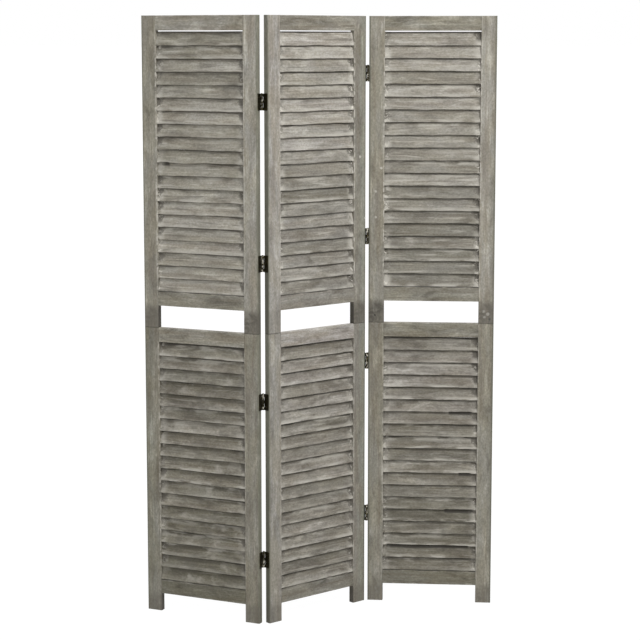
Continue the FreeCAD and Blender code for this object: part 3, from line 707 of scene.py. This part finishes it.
def slat_ends(colour, slat, panel, low_half):
    """Pale smears of wash that also stand in for light lifting the shade there, painted shade in ragged
    corners, and bright specks where a slat goes into the stiles.
    """
    size, look = sizes(), finish()
    from_left = maths("SUBTRACT", slat.along, size.housing_depth)
    from_right = maths("SUBTRACT", size.slat_length - size.housing_depth, slat.along)
    ragged = noise(slat.place, "ragged")
    cloudy = noise(slat.place, "cloudy")
    for away, (corner_shade_strength, pale_end), turns in zip((from_left, from_right), BANK_ENDS[panel], END_LUCK):
        pale_end *= LOWER_PALE_ENDS if low_half else 1.0
        # Pale smears of wash at the ends, partly painted light that lifts the shade of the stiles there
        smear = times(ramp(away, *END_SMEAR), ramp(cloudy, 0.38, 0.54))
        smear = times(smear, luck(slat, turns + 9.1, 0.1, 0.8, 0.2, pale_end))
        colour = blend(smear, colour, shade(look.pale_wash))
        # Painted shade in the slat's corners, recessed behind the stile and under the slat above
        uneven_reach = ramp(ragged, 0.35, 0.65, *CORNER_SHADE_REACH)
        reach = maths("MULTIPLY_ADD", slat.up_face, CORNER_SHADE_SPREAD, uneven_reach)
        corner = times(ramp(maths("DIVIDE", away, reach), 1.0, 0.5), ramp(slat.up_face, 0.1, 0.5))
        corner = times(corner, luck(slat, turns, 0.1, 0.7, 0.15, corner_shade_strength))
        colour = blend(corner, colour, shade(look.dark_wash, 0.7))
        specks = times(ramp(away, *END_SPECKS), ramp(ragged, 0.54, 0.61, 0.0, pale_end))
        specks = times(specks, luck(slat, turns + 4.3, 0.2, 0.7, 0.3, 1.0))
        colour = blend(specks, colour, shade(look.pale_wash, 1.3))
    return colour


def slat_material(panel, half):
    """Washed wood of a bank of slats, on each slat's own place."""
    material, tree, shader = new_material(f"{panel}_{half}_slat_wash")
    low_half = half == "lower"
    smoke_and_shade = SMOKE_AND_SHADE[panel] if low_half else 0.0
    slat = slat_sockets(tree)
    colour, grain = bank_wash(slat, panel, half, smoke_and_shade)
    colour = brush_strokes(colour, slat, low_half, smoke_and_shade)
    breakup = noise(slat.place, "breakup")
    colour = worn_face(colour, slat, breakup, low_half)
    colour = crevice_shade(colour, slat, breakup, low_half)
    colour = slat_ends(colour, slat, panel, low_half)
    finish_wood(tree, shader, colour, grain)
    return material


# Bronze and beech

# How far from a pin's axis the painted glints start and are full, on the knuckles.
KNUCKLE_GLINT = (0.0036, 0.003)
# Height of the coat's grit.
GRIT_RELIEF = 0.0001


def bronze_material(name, rub, roughness, fold=None):
    """Dark bronze coat, rubbed to a browner metal in patches, with painted glints of bright steel on a
    fold's knuckles.
    """
    material, tree, shader = new_material(name)
    look = finish()
    place = tree.nodes.new("ShaderNodeTexCoord").outputs["Object"]
    mottle = noise(place, "mottle")
    worn = times(ramp(mottle, 0.52, 0.7), rub)
    colour = blend(worn, shade(look.bronze), shade(look.rubbed_bronze))
    if fold:
        flat = vectors("MULTIPLY", place, (1.0, 1.0, 0.0))[0]
        from_pin = vectors("DISTANCE", flat, (PIN[fold].x, PIN[fold].y, 0.0))["Value"]
        # Painted highlights: bright steel on the knuckles where glints fall
        bared = times(ramp(from_pin, *KNUCKLE_GLINT),
                      ramp(noise(place, "bared_metal"), 0.54, 0.62))
        colour = blend(bared, colour, shade(look.knuckle_glint_colour))
    tree.links.new(colour, shader.inputs["Base Color"])
    shader.inputs["Metallic"].default_value = 0.85
    sheen = ramp(mottle, 0.3, 0.7, roughness + 0.12, roughness - 0.08)
    tree.links.new(sheen, shader.inputs["Roughness"])
    relief = {"Strength": 0.25, "Distance": GRIT_RELIEF, "Height": noise(place, "metal_grit")}
    tree.links.new(put("ShaderNodeBump", relief).outputs[0], shader.inputs["Normal"])
    return material


def dowel_material():
    """Plain beech with fine flecks."""
    material, tree, shader = new_material("bare_beech")
    place = tree.nodes.new("ShaderNodeTexCoord").outputs["Object"]
    flecks = ramp(noise(place, "beech"), 0.4, 0.65)
    bare = finish().bare_dowel
    tree.links.new(blend(flecks, shade(bare), shade(bare, 0.7)), shader.inputs["Base Color"])
    shader.inputs["Roughness"].default_value = 0.7
    return material


# Modelling helpers

def deselect_all():
    if bpy.context.mode != "OBJECT":
        bpy.ops.object.mode_set(mode="OBJECT")
    bpy.ops.object.select_all(action="DESELECT")


def only(piece):
    """Makes one object the selected and active one."""
    deselect_all()
    piece.select_set(True)
    bpy.context.view_layer.objects.active = piece


def delete(piece):
    only(piece)
    bpy.ops.object.delete()


def copy_of(piece):
    """A copy with a mesh of its own."""
    twin = piece.copy()
    twin.data = piece.data.copy()
    bpy.context.collection.objects.link(twin)
    return twin


def select_parts(piece, kind, wanted):
    """Selects the faces or edges of the mesh in edit mode that a test wants."""
    bpy.ops.mesh.select_mode(type=kind)
    bpy.ops.mesh.select_all(action="DESELECT")
    mesh = bmesh.from_edit_mesh(piece.data)
    for part in (mesh.faces if kind == "FACE" else mesh.edges):
        part.select_set(bool(wanted(part)))
    mesh.select_flush_mode()
    bmesh.update_edit_mesh(piece.data)


def runs_along(axis):
    """A test for edges that run along an axis."""
    def test(edge):
        way = (edge.verts[1].co - edge.verts[0].co).normalized()
        return abs(way[axis]) > 0.99
    return test


def faces_up(face):
    return face.normal.z > 0.9


def faces_down(face):
    return face.normal.z < -0.9


def apply_modifier(piece, kind, name, **settings):
    modifier = piece.modifiers.new(name, kind)
    for key, setting in settings.items():
        setattr(modifier, key, setting)
    only(piece)
    bpy.ops.object.modifier_apply(modifier=name)


def settle(piece, matrix):
    """Puts a piece at its place and writes the place into its mesh."""
    piece.matrix_world = matrix
    only(piece)
    bpy.ops.object.transform_apply(location=True, rotation=True, scale=True)


def paint(piece, material):
    """Gives a piece one material."""
    piece.data.materials.clear()
    piece.data.materials.append(material)


def dress(piece, material, body, node):
    """Paints a new piece, parents it to its body's empty, and hides the frame part that it takes the place
    of.
    """
    paint(piece, material)
    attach(piece, body)
    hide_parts(node)


def within_one(number):
    return min(max(number, 0.0), 1.0)


# Slats

SLAT_ROUNDING = 0.0015
ROUNDING_SEGMENTS = 3
FACE_CUTS = 5
LENGTH_CUTS = 55
SMOOTH_SLATS = math.radians(40)
# How far from its ends a slat stays straight, and over what length it comes to wave freely.
STRAIGHT_END = 0.008
FREEING_LENGTH = 0.02
# Share of a slat's face, from its lower or upper edge, that moves with that edge.
EDGE_SHARE = 0.3
# Wear of the slats: vertex group, share of the edge's wave, middle level, and its clouds' size and depth.
WEAR = {
    "bow": ("free_length", 0.45, 0.5, 0.35, 0),
    "wear": ("lower_edge", 1.0, 0.45, 0.13, 1),
    "nibble": ("lower_edge", 0.28, 0.42, 0.02, 2),
}
HALF_WAVES = {"upper": 1.0, "lower": 0.65}
# Steps in the wear's clouds from panel to panel, half to half and slat to slat.
PANEL_STEP, HALF_STEP, SLAT_STEP = 10, 5, 0.73


def lower_edge_share(up_face):
    """1 on a slat's lower edge, falling to 0 up its face."""
    return within_one(1.0 - up_face / EDGE_SHARE)


def upper_edge_share(up_face):
    """1 on a slat's upper edge, falling to 0 down its face."""
    return within_one((up_face - (1.0 - EDGE_SHARE)) / EDGE_SHARE)


def make_one_slat():
    """One slat about the origin: rounded long edges, cut into short lengths for its wear."""
    size = sizes()
    deselect_all()
    bpy.ops.mesh.primitive_cube_add(size=1.0)
    slat = bpy.context.object
    bpy.ops.object.mode_set(mode="EDIT")
    bpy.ops.transform.resize(value=(size.slat_length, size.slat_thickness, size.slat_chord))
    select_parts(slat, "EDGE", runs_along(2))
    bpy.ops.mesh.subdivide(number_cuts=FACE_CUTS)
    half_thick, half_chord = size.slat_thickness / 2, size.slat_chord / 2

    def is_corner(edge):
        middle = (edge.verts[0].co + edge.verts[1].co) / 2
        at_face = abs(abs(middle.y) - half_thick) < 1e-5
        return runs_along(0)(edge) and at_face and abs(abs(middle.z) - half_chord) < 1e-5
    select_parts(slat, "EDGE", is_corner)
    bpy.ops.mesh.bevel(offset=SLAT_ROUNDING, segments=ROUNDING_SEGMENTS, affect="EDGES")
    select_parts(slat, "EDGE", runs_along(0))
    bpy.ops.mesh.subdivide(number_cuts=LENGTH_CUTS)
    bpy.ops.object.mode_set(mode="OBJECT")

    edge_group = slat.vertex_groups.new(name="lower_edge")
    free_group = slat.vertex_groups.new(name="free_length")
    places = []
    for vertex in slat.data.vertices:
        along = vertex.co.x + size.slat_length / 2
        up_face = vertex.co.z / size.slat_chord + 0.5
        places.append((along, up_face, 0.0))
        from_end = min(along, size.slat_length - along)
        free = within_one((from_end - STRAIGHT_END) / FREEING_LENGTH)
        free_group.add([vertex.index], free, "REPLACE")
        edge_group.add([vertex.index], free * lower_edge_share(up_face), "REPLACE")
    stored = slat.data.attributes.new("slat_place", "FLOAT_VECTOR", "POINT")
    for spot, place in zip(stored.data, places):
        spot.vector = place
    bpy.ops.object.mode_set(mode="EDIT")
    bpy.ops.mesh.select_all(action="SELECT")
    bpy.ops.transform.rotate(value=size.slat_tilt, orient_axis="X", center_override=(0, 0, 0))
    bpy.ops.object.mode_set(mode="OBJECT")
    highest = max(slat.data.vertices, key=lambda v: v.co.z)
    if highest.co.y < 0:
        raise RuntimeError("the slat leans the wrong way")
    return slat


def shape_bank(bank, in_one, panel, half):
    """Gives each slat its seed and its place in the wear, splits edges and closes the gaps at both rails."""
    size, look = sizes(), finish()
    count = getattr(size, f"{half}_slats")
    draw = random.Random(f"{panel} {half}")
    seeds = [draw.random() for _ in range(count)]
    bank.data.attributes.new("under_split", "FLOAT", "POINT")
    bank.data.uv_layers.new(name="wear_map")
    names = ("slat_place", "under_split", "wear_map")
    place, below, wear_map = (bank.data.attributes[name] for name in names)
    splits = {number: span for number, *span in SPLITS.get((panel, half), ())}
    lean = Vector((0.0, math.sin(size.slat_tilt), math.cos(size.slat_tilt)))
    for vertex in bank.data.vertices:
        number = vertex.index // in_one
        along, up_face, _ = place.data[vertex.index].vector
        place.data[vertex.index].vector = (along, up_face, seeds[number])
        if number in splits:
            first, last, depth = splits[number]
            if first < along < last:
                vertex.co += depth * lower_edge_share(up_face) * lean
        if number + 1 in splits:
            first, last, _ = splits[number + 1]
            below.data[vertex.index].value = 1.0 if first < along < last else 0.0
        if number == 0:
            vertex.co.z -= look.rail_gap * lower_edge_share(up_face)
        if number == count - 1 and half == "upper":
            vertex.co += look.head_gap * upper_edge_share(up_face) * lean
    shift = PANEL_STEP * PANELS.index(panel) + HALF_STEP * HALVES.index(half)
    for loop in bank.data.loops:
        along = place.data[loop.vertex_index].vector[0]
        wear_map.data[loop.index].vector = (along, shift + loop.vertex_index // in_one * SLAT_STEP)


def make_bank(master, panel, half, material, textures):
    """A half's bank of slats, each with its own seed, wear and slight bow."""
    size = sizes()
    bank = copy_of(master)
    bank.name = bank.data.name = f"{panel}_{half}_worn_slats"
    in_one = len(bank.data.vertices)
    pitch = getattr(size, f"{half}_pitch")
    apply_modifier(bank, "ARRAY", "bank", count=getattr(size, f"{half}_slats"), use_relative_offset=False,
                   use_constant_offset=True, constant_offset_displace=(0, 0, pitch))
    bank.vertex_groups["lower_edge"].remove(list(range(in_one)))
    shape_bank(bank, in_one, panel, half)
    wave = finish().edge_wave * HALF_WAVES[half]
    for name, (group, share, middle, _, _) in WEAR.items():
        apply_modifier(bank, "DISPLACE", name, texture=textures[name], texture_coords="UV",
                       uv_layer="wear_map", direction="Z", strength=share * wave, mid_level=middle,
                       vertex_group=group)
    bank.data.uv_layers.remove(bank.data.uv_layers["wear_map"])
    bank.vertex_groups.clear()
    only(bank)
    bpy.ops.object.shade_smooth_by_angle(angle=SMOOTH_SLATS)
    middle = (size.panel_width / 2, size.frame_thickness / 2, getattr(size, f"lowest_{half}_slat"))
    settle(bank, panel_matrix(panel) @ Matrix.Translation(middle))
    dress(bank, material, f"{panel}_panel", f"{panel}_{half}_slats")


def cloud_texture(name, size, depth):
    texture = bpy.data.textures.new(name, "CLOUDS")
    texture.noise_scale = size
    texture.noise_depth = depth
    return texture


class SCREEN_OT_slats(bpy.types.Operator):
    """Makes the banks of worn slats"""

    bl_idname = "screen.slats"
    bl_label = "Worn slats"

    def execute(self, context):
        master = make_one_slat()
        textures = {name: cloud_texture(f"slat_{name}", size, depth)
                    for name, (*_, size, depth) in WEAR.items()}
        for panel in PANELS:
            for half in HALVES:
                make_bank(master, panel, half, slat_material(panel, half), textures)
        delete(master)
        return {"FINISHED"}


# Stiles and rails

class SCREEN_OT_frames(bpy.types.Operator):
    """Washes the stiles and rails, each as its own board"""

    bl_idname = "screen.frames"
    bl_label = "Washed frames"

    def execute(self, context):
        size = sizes()
        draw = random.Random("boards")
        for panel in PANELS:
            for half in HALVES:
                tones = BOARD_TONES[panel, half]
                for side, strength in zip(("left", "right"), tones[:2]):
                    node = f"{panel}_{half}_{side}_stile"
                    start = (0.0 if side == "left" else size.panel_width - size.stile_width, 0.0,
                             size.joint_height if half == "upper" else 0.0)
                    stile = self.stile_features(node, half, side)
                    self.wash(node, panel, start, True, size.stile_width, draw, strength, stile)
                for place, strength in zip(("top", "bottom"), tones[2:]):
                    node = f"{panel}_{half}_{place}_rail"
                    start = (size.stile_width, 0.0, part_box(node)[0].z)
                    under_slats = place == "bottom"
                    self.wash(node, panel, start, False, size.rail_height, draw, strength, None, under_slats)
        return {"FINISHED"}

    @staticmethod
    def stile_features(node, half, side):
        """What a stile has beyond its wash, with heights from its own foot."""
        size = sizes()
        upper = half == "upper"
        leg = size.window_height if upper else size.foot_length
        head = size.panel_height - size.joint_height if upper else size.joint_height
        stain, stain_shade = LEG_STAINS.get(node, USUAL_LEG_STAINS[half])
        return {
            "inner_edge": size.stile_width if side == "left" else 0.0,
            "leg": leg,
            "slats": (leg + size.rail_height, head - size.rail_height),
            "joint": 0.0 if upper else size.joint_height,
            "stain": stain,
            "stain_shade": stain_shade,
            "smear": INNER_SMEARS[half],
            "green": GREEN_STILES.get(node, 0.0),
            "edge": STILE_EDGES.get(node, USUAL_STILE_EDGE),
            "marks": MARKS.get(node, ()),
        }

    @staticmethod
    def wash(node, panel, start, upright, width, draw, strength, stile=None, under_slats=False):
        seed, tone = 20 * draw.random(), strength * draw.uniform(0.95, 1.05)
        material = bar_material(f"{node}_wash", panel, start, upright, width, seed, tone, stile, under_slats)
        paint(frame["nodes"][node], material)


# Hinges and dowels

class SCREEN_OT_hinges(bpy.types.Operator):
    """Coats the hinge leaves and pins in dark bronze"""

    bl_idname = "screen.hinges"
    bl_label = "Bronze hinges"

    def execute(self, context):
        leaves = {fold: bronze_material(f"{fold}_leaf_bronze", 0.7, 0.33, fold) for fold in PIN}
        pin = bronze_material("bronze_pin", 0.9, 0.3)
        for name, node in frame["nodes"].items():
            if name.endswith("_leaf"):
                paint(node, leaves["_".join(name.split("_")[:2])])
            elif name.endswith("_hinge_pins"):
                paint(node, pin)
        return {"FINISHED"}


class SCREEN_OT_dowels(bpy.types.Operator):
    """Gives the hidden dowels their bare wood"""

    bl_idname = "screen.dowels"
    bl_label = "Bare dowels"

    def execute(self, context):
        material = dowel_material()
        for name, node in frame["nodes"].items():
            if name.endswith("_dowels"):
                paint(node, material)
        return {"FINISHED"}


# Screws

HEAD_RADIUS = 0.0028
HEAD_DEPTH = 0.0013
HEAD_SIDES = 20
HEAD_CROWN = 0.00012
CROWN_INSET = 0.0005
SHANK_RADIUS = 0.0015
SHANK_LENGTH = 0.0112
POINT_LENGTH = 0.0024
POINT_SHARE = 0.2
# A blade of the cross recess: its length, width and depth, and what its foot keeps of them.
BLADE = (0.0032, 0.0007, 0.002)
BLADE_TAPER = (0.45, 0.7, 1.0)
SMOOTH_SCREWS = math.radians(30)
# How a screw is turned by its number in the row and its hinge's height.
TURN_BY_NUMBER, TURN_BY_HEIGHT = 0.7, 0.3


def make_one_screw():
    """One countersunk screw: head in the XY plane facing +Z, with a cross recess, and a tapered shank."""
    deselect_all()
    bpy.ops.mesh.primitive_cone_add(vertices=HEAD_SIDES, radius1=SHANK_RADIUS, radius2=HEAD_RADIUS,
                                    depth=HEAD_DEPTH, location=(0, 0, -HEAD_DEPTH / 2))
    screw = bpy.context.object
    bpy.ops.object.transform_apply(location=True)
    bpy.ops.object.mode_set(mode="EDIT")
    select_parts(screw, "FACE", faces_down)
    for length in (SHANK_LENGTH, POINT_LENGTH):
        bpy.ops.mesh.extrude_region_move(TRANSFORM_OT_translate={"value": (0, 0, -length)})
    bpy.ops.transform.resize(value=(POINT_SHARE, POINT_SHARE, 1.0))
    select_parts(screw, "FACE", faces_up)
    bpy.ops.mesh.inset(thickness=CROWN_INSET)
    bpy.ops.transform.translate(value=(0, 0, HEAD_CROWN))
    bpy.ops.object.mode_set(mode="OBJECT")
    for turn in (0.0, math.pi / 2):
        deselect_all()
        bpy.ops.mesh.primitive_cube_add(size=1.0, rotation=(0, 0, turn))
        blade = bpy.context.object
        bpy.ops.object.mode_set(mode="EDIT")
        bpy.ops.transform.resize(value=BLADE)
        select_parts(blade, "FACE", faces_down)
        bpy.ops.transform.resize(value=BLADE_TAPER)
        bpy.ops.object.mode_set(mode="OBJECT")
        apply_modifier(screw, "BOOLEAN", "recess", object=blade, operation="DIFFERENCE")
        delete(blade)
    return screw


def hinge_heights(fold):
    """Middles of a fold's hinges, from the boxes of their leaves."""
    leaves = (f"{fold}_fold_hinge_{number + 1}_{fold}_leaf" for number in range(HINGES_IN_FOLD))
    return [(low.z + high.z) / 2 for low, high in map(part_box, leaves)]


def screw_row(master, fold, panel):
    """The screws of one panel's leaves in a fold, joined as one piece."""
    size = sizes()
    at_right_end = panel == "left" or (fold == "right" and panel == "middle")
    out = size.pin_aside - size.screw_seat
    x = size.panel_width + out if at_right_end else -out
    from_front = {
        "left": size.frame_thickness + size.pin_beyond - size.screw_from_pin,
        "right": size.screw_from_pin - size.pin_beyond,
    }[fold]
    facing = Matrix.Rotation(math.pi / 2 if at_right_end else -math.pi / 2, 4, "Y")
    screws = []
    for height in hinge_heights(fold):
        for spread in (-size.screw_spread, size.screw_spread):
            screw = copy_of(master)
            turn = Matrix.Rotation(TURN_BY_NUMBER * len(screws) + TURN_BY_HEIGHT * height, 4, "Z")
            place = Matrix.Translation((x, from_front, height + spread))
            settle(screw, panel_matrix(panel) @ place @ facing @ turn)
            screws.append(screw)
    only(screws[0])
    for screw in screws:
        screw.select_set(True)
    bpy.ops.object.join()
    bpy.ops.object.shade_smooth_by_angle(angle=SMOOTH_SCREWS)
    return screws[0]


class SCREEN_OT_screws(bpy.types.Operator):
    """Makes the hinge screws with cross recesses"""

    bl_idname = "screen.screws"
    bl_label = "Hinge screws"

    def execute(self, context):
        master = make_one_screw()
        material = bronze_material("bronze_screw", 1.0, 0.36)
        for fold in ("left", "right"):
            for panel in (fold, "middle"):
                row = screw_row(master, fold, panel)
                row.name = row.data.name = f"{fold}_fold_{panel}_cross_screws"
                dress(row, material, f"{panel}_panel", f"{fold}_fold_{panel}_screws")
        delete(master)
        return {"FINISHED"}


# Stage

FLOOR_SIZE = 1200.0
FLOOR_DROP = 0.0003
FLOOR_GLOW = 1.06
# How far from the middle of the floor it starts to clear and is clear, and how much it glows there.
FLOOR_CLEARS = (0.5, 1.6)
FLOOR_LIFT = (0.9, 1.0)
WHITE = (1.0, 1.0, 1.0, 1.0)
ROOM_LIGHT = (0.97, 0.98, 1.0, 1.0)
ROOM_STRENGTH = 0.42
# Lamps: place, what they aim at, size and power.
LAMPS = {
    "key_light": ((1.9, -2.6, 3.7), (0.0, 0.0, 1.0), 1.1, 118.0),
    "fill_light": ((-3.2, -4.2, 2.6), (0.0, 0.0, 0.8), 3.0, 45.0),
    "back_light": ((0.5, 4.5, 3.2), (0.0, 0.0, 0.9), 3.0, 110.0),
}
CAMERA_PLACE = (-0.0015, -5.3444, 1.58)
# How far the camera looks down, in radians.
CAMERA_DIP = 0.14064
CAMERA_LENS = 110.57
CAMERA_SENSOR = 36.0


class SCREEN_OT_stage(bpy.types.Operator):
    """Sets the pale floor, the soft lights and the camera"""

    bl_idname = "screen.stage"
    bl_label = "Stage"

    def execute(self, context):
        scene = context.scene
        scene.view_settings.view_transform = "Standard"
        self.floor()
        self.world(scene)
        for name, (place, aim, size, power) in LAMPS.items():
            self.lamp(name, place, aim, size, power)
        camera = bpy.data.objects.new("camera", bpy.data.cameras.new("camera"))
        context.collection.objects.link(camera)
        camera.location = CAMERA_PLACE
        camera.rotation_euler = (math.pi / 2 - CAMERA_DIP, 0.0, 0.0)
        camera.data.lens = CAMERA_LENS
        camera.data.sensor_width = CAMERA_SENSOR
        scene.camera = camera
        return {"FINISHED"}

    @staticmethod
    def seen_directly(tree):
        """1 for rays that see the stage, by eye, in gloss or through glass."""
        path = tree.nodes.new("ShaderNodeLightPath").outputs
        seen = maths("MAXIMUM", path["Is Camera Ray"], path["Is Glossy Ray"])
        return maths("MAXIMUM", seen, path["Is Transmission Ray"])

    def floor(self):
        deselect_all()
        bpy.ops.mesh.primitive_plane_add(size=FLOOR_SIZE, location=(0, 0, -FLOOR_DROP))
        floor = bpy.context.object
        floor.name = "floor"
        material, tree, shader = new_material("pale_floor")
        shader.inputs["Base Color"].default_value = shade(finish().floor)
        shader.inputs["Roughness"].default_value = 0.9
        glow = put("ShaderNodeEmission", {"Color": WHITE, "Strength": FLOOR_GLOW}, tree).outputs[0]
        place = tree.nodes.new("ShaderNodeTexCoord").outputs["Object"]
        away = vectors("LENGTH", place)["Value"]
        lift = times(self.seen_directly(tree), ramp(away, *FLOOR_CLEARS, *FLOOR_LIFT))
        mixed = put("ShaderNodeMixShader", {0: lift, 1: shader.outputs[0], 2: glow}).outputs[0]
        tree.links.new(mixed, tree.nodes["Material Output"].inputs["Surface"])
        paint(floor, material)

    def world(self, scene):
        world = bpy.data.worlds.new("white_room")
        world.use_nodes = True
        tree = world.node_tree
        soft = put("ShaderNodeBackground", {"Color": ROOM_LIGHT, "Strength": ROOM_STRENGTH}, tree).outputs[0]
        white = put("ShaderNodeBackground", {"Color": WHITE, "Strength": 1.0}, tree).outputs[0]
        mixed = put("ShaderNodeMixShader", {0: self.seen_directly(tree), 1: soft, 2: white}).outputs[0]
        tree.links.new(mixed, tree.nodes["World Output"].inputs["Surface"])
        scene.world = world

    @staticmethod
    def lamp(name, place, aim, size, power):
        lamp = bpy.data.objects.new(name, bpy.data.lights.new(name, "AREA"))
        bpy.context.collection.objects.link(lamp)
        lamp.location = place
        lamp.rotation_euler = (Vector(aim) - Vector(place)).to_track_quat("-Z", "Y").to_euler()
        lamp.data.size = size
        lamp.data.energy = power


# Add-on

OPERATORS = (
    SCREEN_OT_frames, SCREEN_OT_slats, SCREEN_OT_hinges, SCREEN_OT_screws, SCREEN_OT_dowels, SCREEN_OT_stage,
)


class SCREEN_PT_sidebar(bpy.types.Panel):
    """Lists the steps that dress the screen"""

    bl_idname = "SCREEN_PT_sidebar"
    bl_label = "Louvre screen"
    bl_space_type = "VIEW_3D"
    bl_region_type = "UI"
    bl_category = "Screen"

    def draw(self, context):
        column = self.layout.column()
        for operator in OPERATORS:
            column.operator(operator.bl_idname)


CLASSES = (ScreenSizes, ScreenFinish, *OPERATORS, SCREEN_PT_sidebar)


def register():
    for cls in CLASSES:
        bpy.utils.register_class(cls)
    bpy.types.Scene.screen_sizes = bpy.props.PointerProperty(type=ScreenSizes)
    bpy.types.Scene.screen_finish = bpy.props.PointerProperty(type=ScreenFinish)


def unregister():
    del bpy.types.Scene.screen_finish
    del bpy.types.Scene.screen_sizes
    for cls in reversed(CLASSES):
        bpy.utils.unregister_class(cls)


def main():
    register()
    bpy.ops.screen.frames()
    bpy.ops.screen.slats()
    bpy.ops.screen.hinges()
    bpy.ops.screen.screws()
    bpy.ops.screen.dowels()
    bpy.ops.screen.stage()


if __name__ == "__main__":
    main()
